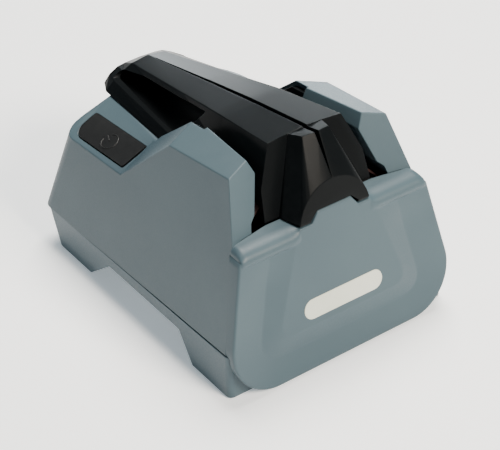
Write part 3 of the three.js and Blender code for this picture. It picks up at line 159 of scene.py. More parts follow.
def feed(tree, socket, value):
    if isinstance(value, bpy.types.NodeSocket):
        tree.links.new(value, socket)
    else:
        socket.default_value = value


def addNode(tree, kind, **values):
    node = tree.nodes.new(kind)
    for label, value in values.items():
        feed(tree, node.inputs[label.replace("_", " ")], value)
    return node


def maths(tree, operation, first, second=0.5):
    node = tree.nodes.new("ShaderNodeMath")
    node.operation = operation
    feed(tree, node.inputs[0], first)
    feed(tree, node.inputs[1], second)
    return node.outputs[0]


def noise(tree, position, scale, detail=2.0, roughness=0.5):
    node = addNode(
        tree, "ShaderNodeTexNoise", Vector=position, Scale=scale, Detail=detail, Roughness=roughness,
    )
    return node.outputs["Fac"]


def spread(tree, value, low, high, toLow=0.0, toHigh=1.0):
    node = addNode(
        tree, "ShaderNodeMapRange", Value=value, From_Min=low, From_Max=high, To_Min=toLow, To_Max=toHigh,
    )
    node.interpolation_type = "SMOOTHSTEP"
    return node.outputs["Result"]


def blendColour(tree, factor, first, second):
    node = tree.nodes.new("ShaderNodeMix")
    node.data_type = "RGBA"
    for socket, value in ((node.inputs[0], factor), (node.inputs[6], first), (node.inputs[7], second)):
        feed(tree, socket, (*value, 1) if isinstance(value, tuple) else value)
    return node.outputs[2]


# Shader groups

def newGroup(name, inputs, outputs):
    group = bpy.data.node_groups.new(name, "ShaderNodeTree")
    for label in inputs:
        kind = "NodeSocketVector" if label == "Position" else "NodeSocketFloat"
        group.interface.new_socket(label, in_out="INPUT", socket_type=kind)
    for label in outputs:
        group.interface.new_socket(label, in_out="OUTPUT", socket_type="NodeSocketFloat")
    return group, group.nodes.new("NodeGroupInput").outputs, group.nodes.new("NodeGroupOutput").inputs


grainForm = {
    "fineRoughness": 0.6,
    "coarseShare": 0.28,
    "fineWeight": 0.6,
    "coarseWeight": 0.4,
    "leastPower": 0.5,
    "toneRange": (0.3, 0.7),
}


def makeGrainGroup(form):
    group, given, out = newGroup("mouldedGrain", ("Position", "Pitch", "Softness"), ("Height", "Tone"))
    position, pitch = given["Position"], given["Pitch"]
    fine = noise(group, position, pitch, roughness=form["fineRoughness"])
    coarse = noise(group, position, maths(group, "MULTIPLY", pitch, form["coarseShare"]))
    fineHeight = maths(group, "MULTIPLY", fine, form["fineWeight"])
    height = maths(group, "ADD", fineHeight, maths(group, "MULTIPLY", coarse, form["coarseWeight"]))
    softened = maths(group, "POWER", height, maths(group, "ADD", given["Softness"], form["leastPower"]))
    group.links.new(softened, out["Height"])
    group.links.new(spread(group, coarse, *form["toneRange"]), out["Tone"])
    return group


driftForm = {"detail": 3.0, "roughness": 0.55, "stretch": (1.0, 0.08, 1.0), "streakShare": 6.0}


def makeDriftGroup(form):
    group, given, out = newGroup("slowDrift", ("Position", "Scale"), ("Drift", "Streak"))
    position, scale = given["Position"], given["Scale"]
    drift = noise(group, position, scale, form["detail"], form["roughness"])
    stretched = addNode(group, "ShaderNodeMapping", Vector=position, Scale=form["stretch"])
    finer = maths(group, "MULTIPLY", scale, form["streakShare"])
    streak = noise(group, stretched.outputs["Vector"], finer)
    group.links.new(drift, out["Drift"])
    group.links.new(streak, out["Streak"])
    return group


dustForm = {"sizeShare": 1.2, "leastSize": 0.025}


def makeDustGroup(form):
    group, given, out = newGroup("paleDust", ("Position", "Spacing", "Share"), ("Mask",))
    node = addNode(group, "ShaderNodeTexVoronoi", Vector=given["Position"], Scale=given["Spacing"])
    cells = node.outputs
    picked = addNode(group, "ShaderNodeTexWhiteNoise", Vector=cells["Position"]).outputs["Value"]
    few = maths(group, "LESS_THAN", picked, given["Share"])
    size = maths(group, "ADD", maths(group, "MULTIPLY", picked, form["sizeShare"]), form["leastSize"])
    near = maths(group, "LESS_THAN", cells["Distance"], size)
    group.links.new(maths(group, "MULTIPLY", few, near), out["Mask"])
    return group


# Settings for the painted highlight: a paler colour laid along convex edges and broken into patches by
# noise
edgeHighlightForm = {
    "scale": 240.0,
    "detail": 3.0,
    "flat": 0.515,
    "unevenRange": (0.2, 0.7),
    "unevenShare": (0.55, 1.0),
}


# Mask for the painted edge highlight: high where the surface is convex, broken up by noise
def makeEdgeHighlightGroup(form):
    group, given, out = newGroup("paintedEdgeHighlight", ("Pointiness", "Position", "Width"), ("Mask",))
    uneven = noise(group, given["Position"], form["scale"], form["detail"])
    sharp = maths(group, "ADD", given["Width"], form["flat"])
    edge = spread(group, given["Pointiness"], form["flat"], sharp)
    broken = spread(group, uneven, *form["unevenRange"], *form["unevenShare"])
    group.links.new(maths(group, "MULTIPLY", edge, broken), out["Mask"])
    return group


groups = {
    "grain": makeGrainGroup(grainForm),
    "drift": makeDriftGroup(driftForm),
    "dust": makeDustGroup(dustForm),
    "edgeHighlight": makeEdgeHighlightGroup(edgeHighlightForm),
}


def useGroup(tree, name, **values):
    node = tree.nodes.new("ShaderNodeGroup")
    node.node_tree = groups[name]
    for label, value in values.items():
        feed(tree, node.inputs[label], value)
    return node.outputs


def newMaterial(name):
    material = bpy.data.materials.new(name)
    material.use_nodes = True
    tree = material.node_tree
    position = tree.nodes.new("ShaderNodeTexCoord").outputs["Object"]
    return material, tree, tree.nodes["Principled BSDF"], position


def addBump(tree, shader, height, strength, distance):
    bump = addNode(tree, "ShaderNodeBump", Strength=strength, Distance=distance, Height=height)
    tree.links.new(bump.outputs["Normal"], shader.inputs["Normal"])


# Finishes

# In each look, edge is the colour of the painted highlight along convex edges, and edgeShare is how
# strongly it is laid on
greyShellLook = {
    "colour": (0.042, 0.069, 0.084),
    "light": (0.047, 0.076, 0.091),
    "edge": (0.20, 0.26, 0.28),
    "dust": (0.62, 0.64, 0.64),
    "roughness": (0.40, 0.50),
    "grainPitch": 5200.0,
    "grainDepth": 0.00002,
    "dustShare": 0.006,
    "edgeShare": 0.12,
    "specular": 0.30,
}
blackShellLook = {
    "colour": (0.0024, 0.0030, 0.0034),
    "light": (0.0036, 0.0044, 0.0049),
    "edge": (0.06, 0.07, 0.075),
    "dust": (0.30, 0.31, 0.31),
    "roughness": (0.30, 0.32),
    "grainPitch": 5200.0,
    "grainDepth": 0.000003,
    "dustShare": 0.004,
    "edgeShare": 0.12,
    "specular": 0.05,
}
buttonLook = {
    "colour": (0.0050, 0.0053, 0.0056),
    "light": (0.0075, 0.0078, 0.0081),
    "edge": (0.05, 0.05, 0.05),
    "dust": (0.4, 0.4, 0.4),
    "roughness": (0.34, 0.44),
    "grainPitch": 3000.0,
    "grainDepth": 0.00004,
    "dustShare": 0.01,
    "edgeShare": 0.3,
    "specular": 0.2,
}
innerPlasticLook = {
    "colour": (0.012, 0.013, 0.014),
    "light": (0.018, 0.019, 0.020),
    "edge": (0.08, 0.085, 0.09),
    "dust": (0.35, 0.34, 0.32),
    "roughness": (0.5, 0.62),
    "grainPitch": 1800.0,
    "grainDepth": 0.0001,
    "dustShare": 0.05,
    "edgeShare": 0.2,
    "specular": 0.4,
}
darkNylonLook = {
    "colour": (0.020, 0.020, 0.021),
    "light": (0.030, 0.030, 0.031),
    "edge": (0.07, 0.07, 0.07),
    "dust": (0.16, 0.07, 0.06),
    "roughness": (0.38, 0.5),
    "grainPitch": 1500.0,
    "grainDepth": 0.00006,
    "dustShare": 0.08,
    "edgeShare": 0.2,
    "specular": 0.45,
}
creamLook = {
    "colour": (0.50, 0.53, 0.43),
    "light": (0.56, 0.58, 0.49),
    "edge": (0.78, 0.80, 0.74),
    "dust": (0.42, 0.42, 0.36),
    "roughness": (0.3, 0.4),
    "grainPitch": 3200.0,
    "grainDepth": 0.00003,
    "dustShare": 0.01,
    "edgeShare": 0.4,
    "specular": 0.5,
}
plasticSurface = {
    "softness": 0.5,
    "driftScale": 16.0,
    "driftRange": (0.35, 0.65),
    "dustSpacing": 150.0,
    "dustStrength": 0.5,
    "edgeWidth": 0.06,
    "bumpStrength": 0.55,
}


def mouldedPlastic(name, look, surface=plasticSurface):
    material, tree, shader, position = newMaterial(name)
    pitch, softness = look["grainPitch"], surface["softness"]
    spacing, share = surface["dustSpacing"], look["dustShare"]
    grain = useGroup(tree, "grain", Position=position, Pitch=pitch, Softness=softness)
    drift = useGroup(tree, "drift", Position=position, Scale=surface["driftScale"])
    dust = useGroup(tree, "dust", Position=position, Spacing=spacing, Share=share)
    pointiness = tree.nodes.new("ShaderNodeNewGeometry").outputs["Pointiness"]
    width = surface["edgeWidth"]
    edgeHighlight = useGroup(tree, "edgeHighlight", Pointiness=pointiness, Position=position, Width=width)
    lighter = spread(tree, drift["Drift"], *surface["driftRange"])
    body = blendColour(tree, lighter, look["colour"], look["light"])
    # The edge colour is a painted highlight, mixed in along convex edges by the edge highlight mask
    paler = maths(tree, "MULTIPLY", edgeHighlight["Mask"], look["edgeShare"])
    rimmed = blendColour(tree, paler, body, look["edge"])
    dusted = maths(tree, "MULTIPLY", dust["Mask"], surface["dustStrength"])
    tree.links.new(blendColour(tree, dusted, rimmed, look["dust"]), shader.inputs["Base Color"])
    rough = spread(tree, grain["Tone"], 0.0, 1.0, *look["roughness"])
    tree.links.new(rough, shader.inputs["Roughness"])
    shader.inputs["Specular IOR Level"].default_value = look["specular"]
    addBump(tree, shader, grain["Height"], surface["bumpStrength"], look["grainDepth"])
    return material


rubberLook = {
    "colour": (0.018, 0.018, 0.018),
    "worn": (0.045, 0.044, 0.042),
    "roughness": 0.86,
    "grainPitch": 1100.0,
    "softness": 0.9,
    "driftScale": 60.0,
    "bumpStrength": 0.7,
    "grainDepth": 0.00015,
}


def softRubber(look):
    material, tree, shader, position = newMaterial("softRubber")
    pitch, softness = look["grainPitch"], look["softness"]
    grain = useGroup(tree, "grain", Position=position, Pitch=pitch, Softness=softness)
    drift = useGroup(tree, "drift", Position=position, Scale=look["driftScale"])
    colour = blendColour(tree, drift["Drift"], look["colour"], look["worn"])
    tree.links.new(colour, shader.inputs["Base Color"])
    shader.inputs["Roughness"].default_value = look["roughness"]
    addBump(tree, shader, grain["Height"], look["bumpStrength"], look["grainDepth"])
    return material


beltLook = {
    "cloth": (0.022, 0.007, 0.006),
    "grit": (0.060, 0.013, 0.011),
    "spark": (0.20, 0.11, 0.09),
    "gritPitch": 1900.0,
    "gritRange": (0.1, 0.7),
    "gritTop": 0.7,
    "sparkPitch": 2600.0,
    "sparkShare": 0.16,
    "sparkStrength": 0.7,
    "wearScale": 90.0,
    "wearStrength": 0.4,
    "roughness": 0.88,
    "bumpStrength": 0.9,
    "gritDepth": 0.0002,
}


def gritBelt(look):
    material, tree, shader, position = newMaterial("gritBelt")
    cells = addNode(tree, "ShaderNodeTexVoronoi", Vector=position, Scale=look["gritPitch"])
    away = cells.outputs["Distance"]
    spacing, share = look["sparkPitch"], look["sparkShare"]
    sparks = useGroup(tree, "dust", Position=position, Spacing=spacing, Share=share)
    drift = useGroup(tree, "drift", Position=position, Scale=look["wearScale"])
    ground = blendColour(tree, spread(tree, away, *look["gritRange"]), look["grit"], look["cloth"])
    rubbed = maths(tree, "MULTIPLY", drift["Streak"], look["wearStrength"])
    worn = blendColour(tree, rubbed, ground, look["cloth"])
    sparkling = maths(tree, "MULTIPLY", sparks["Mask"], look["sparkStrength"])
    tree.links.new(blendColour(tree, sparkling, worn, look["spark"]), shader.inputs["Base Color"])
    shader.inputs["Roughness"].default_value = look["roughness"]
    height = spread(tree, away, 0.0, look["gritTop"], 1.0, 0.0)
    addBump(tree, shader, height, look["bumpStrength"], look["gritDepth"])
    return material


steelLook = {
    "colour": (0.50, 0.51, 0.52),
    "dark": (0.36, 0.37, 0.38),
    "roughness": (0.26, 0.42),
    "brushPitch": 900.0,
}
zincLook = {
    "colour": (0.58, 0.57, 0.54),
    "dark": (0.40, 0.38, 0.34),
    "roughness": (0.3, 0.5),
    "brushPitch": 1500.0,
}
bronzeLook = {
    "colour": (0.45, 0.27, 0.11),
    "dark": (0.27, 0.15, 0.06),
    "roughness": (0.38, 0.55),
    "brushPitch": 1700.0,
}
metalSurface = {
    "stretch": (1.0, 0.06, 1.0),
    "brushDetail": 3.0,
    "brushRange": (0.3, 0.7),
    "driftScale": 70.0,
    "bumpStrength": 0.35,
    "brushDepth": 0.00004,
}


def turnedMetal(name, look, surface=metalSurface):
    material, tree, shader, position = newMaterial(name)
    stretched = addNode(tree, "ShaderNodeMapping", Vector=position, Scale=surface["stretch"])
    brushed = noise(tree, stretched.outputs["Vector"], look["brushPitch"], surface["brushDetail"])
    drift = useGroup(tree, "drift", Position=position, Scale=surface["driftScale"])
    colour = blendColour(tree, drift["Drift"], look["colour"], look["dark"])
    tree.links.new(colour, shader.inputs["Base Color"])
    shader.inputs["Metallic"].default_value = 1.0
    rough = spread(tree, brushed, *surface["brushRange"], *look["roughness"])
    tree.links.new(rough, shader.inputs["Roughness"])
    addBump(tree, shader, brushed, surface["bumpStrength"], surface["brushDepth"])
    return material


boardLook = {
    "mask": (0.012, 0.085, 0.035),
    "copper": (0.030, 0.15, 0.060),
    "trackPitch": 330.0,
    "trackGap": 0.16,
    "trackLength": 1.7,
    "trackRow": 0.55,
    "driftScale": 120.0,
    "driftRange": (0.4, 0.6),
    "roughness": 0.28,
    "bumpStrength": 0.4,
    "trackDepth": 0.00005,
}


def greenBoard(look):
    material, tree, shader, position = newMaterial("greenBoard")
    tracks = addNode(
        tree, "ShaderNodeTexBrick", Vector=position, Scale=look["trackPitch"], Mortar_Size=look["trackGap"],
        Brick_Width=look["trackLength"], Row_Height=look["trackRow"],
    )
    drift = useGroup(tree, "drift", Position=position, Scale=look["driftScale"])
    patchy = spread(tree, drift["Drift"], *look["driftRange"])
    tone = maths(tree, "MULTIPLY", tracks.outputs["Fac"], patchy)
    tree.links.new(blendColour(tree, tone, look["mask"], look["copper"]), shader.inputs["Base Color"])
    shader.inputs["Roughness"].default_value = look["roughness"]
    addBump(tree, shader, tone, look["bumpStrength"], look["trackDepth"])
    return material


wireLooks = {
    "redWire": {"colour": (0.35, 0.015, 0.012), "light": (0.48, 0.03, 0.025)},
    "blackWire": {"colour": (0.012, 0.012, 0.013), "light": (0.03, 0.03, 0.032)},
}
wireSurface = {
    "driftScale": 200.0,
    "grainPitch": 1600.0,
    "softness": 0.5,
    "roughness": 0.42,
    "bumpStrength": 0.3,
    "grainDepth": 0.00004,
}


def wireSleeve(name, look, surface=wireSurface):
    material, tree, shader, position = newMaterial(name)
    pitch, softness = surface["grainPitch"], surface["softness"]
    drift = useGroup(tree, "drift", Position=position, Scale=surface["driftScale"])
    grain = useGroup(tree, "grain", Position=position, Pitch=pitch, Softness=softness)
    colour = blendColour(tree, drift["Drift"], look["colour"], look["light"])
    tree.links.new(colour, shader.inputs["Base Color"])
    shader.inputs["Roughness"].default_value = surface["roughness"]
    addBump(tree, shader, grain["Height"], surface["bumpStrength"], surface["grainDepth"])
    return material


finishes = {
    "greyShell": mouldedPlastic("greyShell", greyShellLook),
    "blackShell": mouldedPlastic("blackShell", blackShellLook),
    "blackButton": mouldedPlastic("blackButton", buttonLook),
    "innerPlastic": mouldedPlastic("innerPlastic", innerPlasticLook),
    "darkNylon": mouldedPlastic("darkNylon", darkNylonLook),
    "creamPlate": mouldedPlastic("creamPlate", creamLook),
    "softRubber": softRubber(rubberLook),
    "gritBelt": gritBelt(beltLook),
    "plainSteel": turnedMetal("plainSteel", steelLook),
    "zincScrew": turnedMetal("zincScrew", zincLook),
    "sinteredBronze": turnedMetal("sinteredBronze", bronzeLook),
    "greenBoard": greenBoard(boardLook),
    "redWire": wireSleeve("redWire", wireLooks["redWire"]),
    "blackWire": wireSleeve("blackWire", wireLooks["blackWire"]),
}
finishOfSlot = {
    "grey_shell": "greyShell",
    "black_shell": "blackShell",
    "cream_plate": "creamPlate",
    "rubber": "softRubber",
    "inner_plastic": "innerPlastic",
    "pulley_plastic": "darkNylon",
    "abrasive": "gritBelt",
    "bronze": "sinteredBronze",
    "steel": "plainSteel",
    "circuit_board": "greenBoard",
    "red_lead": "redWire",
    "black_lead": "blackWire",
}
slotOfNode = {part["node"]: part["material_slot"] for part in frame["record"]["subparts"]}


def paint(piece, finish):
    piece.data.materials.clear()
    piece.data.materials.append(finishes[finish])


for nodeName, node in nodes.items():
    paint(node, "zincScrew" if "screw" in nodeName else finishOfSlot[slotOfNode[nodeName]])
print("finishes on", len(nodes), "nodes")


# Helpers for the pieces

def smoothed(mesh):
    for face in mesh.polygons:
        face.use_smooth = True


def baked(piece):
    bpy.context.view_layer.update()
    evaluated = piece.evaluated_get(bpy.context.evaluated_depsgraph_get())
    mesh = bpy.data.meshes.new_from_object(evaluated)
    piece.modifiers.clear()
    old = piece.data
    piece.data = mesh
    bpy.data.meshes.remove(old)
    return piece


def weldedCopy(*nodeNames):
    made = bmesh.new()
    for nodeName in nodeNames:
        made.from_mesh(nodes[nodeName].data)
    bmesh.ops.remove_doubles(made, verts=made.verts, dist=weldDistance)
    return made


def meshFrom(made, name):
    mesh = bpy.data.meshes.new(name)
    made.to_mesh(mesh)
    made.free()
    return mesh


# Pieces with softened edges

edgeSettings = {
    "upperHousing": {
        "nodeName": "upper_housing",
        "body": "base",
        "slot": "grey_shell",
        "finish": "greyShell",
        "width": 0.55,
        "creaseDegrees": 7.0,
    },
    "baseTray": {
        "nodeName": "base_tray",
        "body": "base",
        "slot": "grey_shell",
        "finish": "greyShell",
        "width": 0.5,
    },
    "knifeGuide": {
        "nodeName": "knife_guide",
        "body": "guide",
        "slot": "black_shell",
        "finish": "blackShell",
        "width": 0.35,
        "creaseDegrees": 7.0,
    },
    "powerButton": {
        "nodeName": "power_button",
        "body": "button",
        "slot": "black_shell",
        "finish": "blackButton",
        "width": 0.35,
    },
    "badgePlate": {
        "nodeName": "badge_plate",
        "body": "cover",
        "slot": "cream_plate",
        "finish": "creamPlate",
        "width": 0.3,
    },
}
softening = {"flatDegrees": 0.4, "smoothDegrees": 34.0, "segments": 3, "roomShare": 0.4}


# The shortest edge that meets this one, itself included, bounds how wide its soft edge may be
def roomBeside(edge):
    return min(other.calc_length() for corner in edge.verts for other in corner.link_edges)


def softenEdges(piece, width):
    bevel = piece.modifiers.new("softEdge", "BEVEL")
    bevel.width = width
    bevel.segments = softening["segments"]
    bevel.limit_method = "WEIGHT"
    bevel.use_clamp_overlap = False
    bevel.miter_outer = "MITER_ARC"
    baked(piece)


def evenShading(piece):
    smoothed(piece.data)
    piece.data.set_sharp_from_angle(angle=math.radians(softening["smoothDegrees"]))
    flats = piece.modifiers.new("flatFaces", "WEIGHTED_NORMAL")
    flats.keep_sharp = True
    baked(piece)


def makeSoftened(name, nodeName, body, slot, finish, width, creaseDegrees=22.0):
    made = weldedCopy(nodeName)
    flat = math.radians(softening["flatDegrees"])
    bmesh.ops.dissolve_limit(made, angle_limit=flat, verts=made.verts, edges=made.edges)
    low = [min(vert.co[axis] for vert in made.verts) for axis in range(3)]
    high = [max(vert.co[axis] for vert in made.verts) for axis in range(3)]
    weight = made.edges.layers.float.new("bevel_weight_edge")
    for edge in made.edges:
        if len(edge.link_faces) == 2 and edge.calc_face_angle(0) > math.radians(creaseDegrees):
            edge[weight] = min(1.0, softening["roomShare"] * roomBeside(edge) / (width * mm))
    piece = newObject(name, meshFrom(made, name))
    softenEdges(piece, width * mm)
    # no vertex leaves the box of the modelled part
    for vert in piece.data.vertices:
        vert.co = [min(max(value, lowest), highest) for value, lowest, highest in zip(vert.co, low, high)]
    evenShading(piece)
    paint(piece, finish)
    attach(piece, body)
    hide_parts(nodeName)


for pieceName, settings in edgeSettings.items():
    makeSoftened(pieceName, **settings)
print("softened pieces:", ", ".join(edgeSettings))


# Front cover: a fine outer skin with the raised panel, the valley round it and the two rolls,
# joined to the inside of the modelled cover. Sizes are in millimetres, and depths run back from y = -86.5.

coverForm = {
    "bottom": 1.2,
    "top": 74.3,
    "front": -0.21,  # depth of the leaning face at height 0
    "lean": 0.175,  # depth for each millimetre of height
    "sideFoot": 70.2,
    "sideLean": 0.226,
    "cornerMiddle": 40.4,
    "cornerRound": 23.6,
    "cornerEnd": 30.0,
    "edgeRound": 1.3,
    "backTop": 20.85,
    "lip": {"turn": 0.185, "from": 52.4, "most": 24.8, "thickness": 1.8, "inset": 1.0},
    "backLean": 0.22,
    "baseBack": 7.38,
    "seam": 24.75,  # the base tray is behind the cover below this height, the housing above it
    "valley": {"low": 14.6, "lowHalf": 49.0, "lean": 0.2285, "round": 12.0},
    "panel": {"low": 24.0, "lowHalf": 38.5, "lean": 0.345, "round": 9.0},
    "valleyDepth": 2.6,
    "valleyFade": (50.0, 67.0),
    "fadeShare": 0.5,
    "rollStart": 67.3,
    "rollInner": (20.3, 26.0),
    "rollOuter": 2.2,
    "shoulder": 4.0,
    "insideDrop": 0.4,
    "skinDepth": 2.0,
    "topSkin": 0.3,
    "wallReach": 0.5,
    "wallTurn": 0.5,
    "tongueTop": 79.3,
    "tongueHalf": (9.5, 13.4),
    "tongueBack": 2.8,
    "besideTongue": {"deeper": 4.5, "within": 2.0},
    "columnGap": 0.6,
    "rowGap": 0.6,
    "cornerDegrees": 74,
    "degreeGap": 2,
    "sharpDegrees": 32.0,
}
# How far each line of the rolls and of the flat stretch beside them stands out, and its height
rollSection = [
    (-0.45, 67.3), (0.10, 67.75), (0.42, 68.4), (0.66, 69.2), (0.74, 70.0), (0.62, 70.8), (0.28, 71.6),
    (-0.28, 72.35), (-1.05, 73.0), (-2.05, 73.55), (-3.3, 73.95), (-4.9, 74.22), (-6.5, 74.3),
]
flatSection = [
    (0.0, 67.3), (0.0, 68.4), (0.0, 69.5), (0.0, 70.5), (0.0, 71.4), (0.0, 72.2), (0.0, 72.9),
    (0.0, 73.4), (-0.04, 73.8), (-0.16, 74.08), (-0.38, 74.23), (-0.68, 74.29), (-1.4, 74.3),
]
edgeSteps = (0.0, 0.08, 0.2, 0.4, 0.65, 0.95, 1.3)


def shareOf(value, low, high):
    return min(max((value - low) / (high - low), 0.0), 1.0)


def between(value, low, high):
    share = shareOf(value, low, high)
    return share * share * (3 - 2 * share)


def roundedEnd(value, low, high):
    return math.sqrt(1 - (1 - shareOf(value, low, high)) ** 2)


def roundDrop(distance, radius):
    inside = min(max(distance, 0.0), radius)
    return radius - math.sqrt(max(radius ** 2 - (radius - inside) ** 2, 0.0))


def outlineHalf(form, height):
    if height < form["cornerEnd"]:
        drop = min(form["bottom"] + form["cornerRound"] - height, form["cornerRound"])
        return form["cornerMiddle"] + math.sqrt(max(form["cornerRound"] ** 2 - drop ** 2, 0.0))
    return form["sideFoot"] - form["sideLean"] * height


def edgeDistance(form, x, height):
    middle = form["bottom"] + form["cornerRound"]
    if abs(x) <= form["cornerMiddle"] and height < form["cornerEnd"]:
        return height - form["bottom"]
    if height < form["cornerEnd"]:
        return form["cornerRound"] - math.hypot(abs(x) - form["cornerMiddle"], middle - height)
    return (outlineHalf(form, height) - abs(x)) * math.cos(math.atan(form["sideLean"]))


# How far a point is inside a contour with a low edge, two leaning sides and round corners
def contourDistance(contour, x, height):
    above = height - contour["low"]
    half = contour["lowHalf"] - contour["lean"] * above
    aside = (half - abs(x)) * math.cos(math.atan(contour["lean"]))
    radius = contour["round"]
    if above < radius and aside < radius:
        return radius - math.hypot(radius - above, radius - aside)
    return min(above, aside)


# Level on the raised panel, deepest along the valley's line, and level again at the cover's edge
def faceOffset(form, x, height):
    toPanel = contourDistance(form["panel"], x, height)
    toValley = contourDistance(form["valley"], x, height)
    if toPanel >= 0:
        return 0.0
    if toValley >= 0:
        share = -toPanel / (toValley - toPanel)
    else:
        toEdge = max(edgeDistance(form, x, height), 0.0)
        share = toEdge / (toEdge - toValley)
    return -form["valleyDepth"] * (1 - form["fadeShare"] * between(height, *form["valleyFade"])) * share


def edgeDrop(form, x, height):
    return roundDrop(edgeDistance(form, x, height), form["edgeRound"])


# Heights from the foot up to the rolls, close together where the lower corners are round
def coverRows(form):
    middle = form["bottom"] + form["cornerRound"]
    angles = range(0, form["cornerDegrees"] + 1, form["degreeGap"])
    rows = [middle - form["cornerRound"] * math.cos(math.radians(angle)) for angle in angles]
    count = round((form["rollStart"] - rows[-1]) / form["rowGap"])
    step = (form["rollStart"] - rows[-1]) / count
    return rows + [rows[-1] + step * (k + 1) for k in range(count - 1)]


# Places across, close together beside both edges
def coverColumns(form, half):
    inner = half - edgeSteps[-1]
    count = round(2 * outlineHalf(form, form["top"]) / form["columnGap"])
    left = [-half + step for step in edgeSteps[:-1]]
    middle = [-inner + 2 * inner * k / count for k in range(count + 1)]
    return left + middle + [-x for x in reversed(left)]


def shoulderDrop(form, x):
    return roundDrop(outlineHalf(form, form["top"]) - abs(x), form["shoulder"])


# A roll on each side, the flat stretch between them, and the tongue in the middle
def topPoint(form, x, index):
    side = abs(x)
    half = outlineHalf(form, form["top"])
    weight = roundedEnd(side, *form["rollInner"]) * roundedEnd(half - side, 0.0, form["rollOuter"])
    rollOff, rollHeight = rollSection[index]
    flatOff, flatHeight = flatSection[index]
    narrow, wide = form["tongueHalf"]
    raised = 1 - shareOf(side, narrow, wide)
    rollRise = form["top"] - form["rollStart"]
    stretch = 1 + raised * (form["tongueTop"] - form["top"]) / rollRise
    flatHeight = form["rollStart"] + (flatHeight - form["rollStart"]) * stretch
    ground = faceOffset(form, x, min(flatHeight, form["top"]))
    if index == 0:
        return ground, rollHeight
    offset = (flatOff + ground) * (1 - weight) + rollOff * weight
    height = flatHeight * (1 - weight) + rollHeight * weight
    above = (height - form["rollStart"]) / rollRise
    return offset, height - above * shoulderDrop(form, x)


def planeAt(form, height):
    return form["front"] + form["lean"] * height


def faceRows(form):
    for height in coverRows(form):
        row = []
        for x in coverColumns(form, outlineHalf(form, height)):
            behind = planeAt(form, height) - faceOffset(form, x, height) + edgeDrop(form, x, height)
            row.append((x, behind, height))
        yield row
    for index, (_, rollHeight) in enumerate(rollSection):
        row = []
        for x in coverColumns(form, outlineHalf(form, rollHeight)):
            offset, height = topPoint(form, x, index)
            drop = edgeDrop(form, x, min(height, form["top"]))
            row.append((x, planeAt(form, height) - offset + drop, height))
        yield row


def topRows(form):
    wide = form["tongueHalf"][1]
    beside = form["besideTongue"]
    lip = form["lip"]
    plane = planeAt(form, form["top"])
    rows = [[], [], [], [], []]
    for x in coverColumns(form, outlineHalf(form, form["top"])):
        side = abs(x)
        high = topPoint(form, x, len(rollSection) - 1)[1]
        level = form["top"] - shoulderDrop(form, x)
        back = form["tongueBack"] + beside["deeper"] * between(side, wide, wide + beside["within"])
        end = min(form["backTop"] + lip["turn"] * max(lip["from"] - side, 0.0), lip["most"])
        under = level - lip["thickness"]
        points = (
            (x, planeAt(form, high) + back, high),
            (x, plane + back, level),
            (x, end, level),
            (x, end, under),
            (x, form["backTop"] - lip["inset"], under),
        )
        for row, point in zip(rows, points):
            row.append(point)
    return rows


def coverSkin(form):
    made = bmesh.new()
    depth = cadDepth / 2
    grid = []
    for row in [*faceRows(form), *topRows(form)]:
        places = [(x * mm, (behind - depth) * mm, height * mm) for x, behind, height in row]
        grid.append([made.verts.new(place) for place in places])
    for low, high in zip(grid, grid[1:]):
        for a, b, c, d in zip(low, low[1:], high[1:], high):
            made.faces.new((a, b, c, d))
    outer = grid[:-2]  # without the lip's underside
    edge = [line[0] for line in reversed(outer)] + outer[0][1:-1] + [line[-1] for line in outer]
    rear = []
    for vert in edge:
        height = vert.co.z / mm
        far = form["baseBack"]
        if height >= form["seam"]:
            far = form["backTop"] - form["backLean"] * (form["top"] - height)
        rear.append(made.verts.new((vert.co.x, (far - depth) * mm, vert.co.z)))
    for a, b, c, d in zip(edge, edge[1:], rear[1:], rear):
        made.faces.new((b, a, d, c))
    bmesh.ops.remove_doubles(made, verts=made.verts, dist=weldDistance)
    bmesh.ops.recalc_face_normals(made, faces=made.faces)
    return made


# The modelled cover without its outer faces
def coverInside(form):
    made = weldedCopy("front_cover")
    outside = []
    for face in made.faces:
        x, y, height = face.calc_center_median() / mm
        behind = y + cadDepth / 2 - planeAt(form, height)
        nearEdge = edgeDistance(form, x, height) < form["wallReach"]
        onWall = nearEdge and abs(face.normal.y) < form["wallTurn"]
        if behind < form["skinDepth"] or onWall or height > form["top"] - form["topSkin"]:
            outside.append(face)
    bmesh.ops.delete(made, geom=outside, context="FACES")
    for vert in made.verts:
        highest = form["top"] - form["insideDrop"] - shoulderDrop(form, vert.co.x / mm)
        vert.co.z = min(vert.co.z, highest * mm)
    return made


def makeCover(form):
    made = coverSkin(form)
    inside = meshFrom(coverInside(form), "coverInside")
    made.from_mesh(inside)
    bpy.data.meshes.remove(inside)
    mesh = meshFrom(made, "frontCover")
    smoothed(mesh)
    mesh.set_sharp_from_angle(angle=math.radians(form["sharpDegrees"]))
    piece = newObject("frontCover", mesh)
    paint(piece, "greyShell")
    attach(piece, "cover")
    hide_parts("front_cover")
    return piece


frontCover = makeCover(coverForm)
print("front cover", len(frontCover.data.polygons), "faces")


# What repeats or follows a path: the mark on the button and the ribs under the feet

def newTree(name, inputs):
    tree = bpy.data.node_groups.new(name, "GeometryNodeTree")
    tree.interface.new_socket("Geometry", in_out="INPUT", socket_type="NodeSocketGeometry")
    for label, kind in inputs.items():
        tree.interface.new_socket(label, in_out="INPUT", socket_type=kind)
    tree.interface.new_socket("Geometry", in_out="OUTPUT", socket_type="NodeSocketGeometry")
    return tree, tree.nodes.new("NodeGroupInput").outputs, tree.nodes.new("NodeGroupOutput").inputs


def finishTree(tree, parts, material, out):
    joined = tree.nodes.new("GeometryNodeJoinGeometry")
    for part in parts:
        tree.links.new(part, joined.inputs["Geometry"])
    real = addNode(tree, "GeometryNodeRealizeInstances", Geometry=joined.outputs["Geometry"])
    dressed = addNode(tree, "GeometryNodeSetMaterial", Geometry=real.outputs["Geometry"], Material=material)
    tree.links.new(dressed.outputs["Geometry"], out["Geometry"])


def joinVector(tree, **values):
    return addNode(tree, "ShaderNodeCombineXYZ", **values).outputs["Vector"]


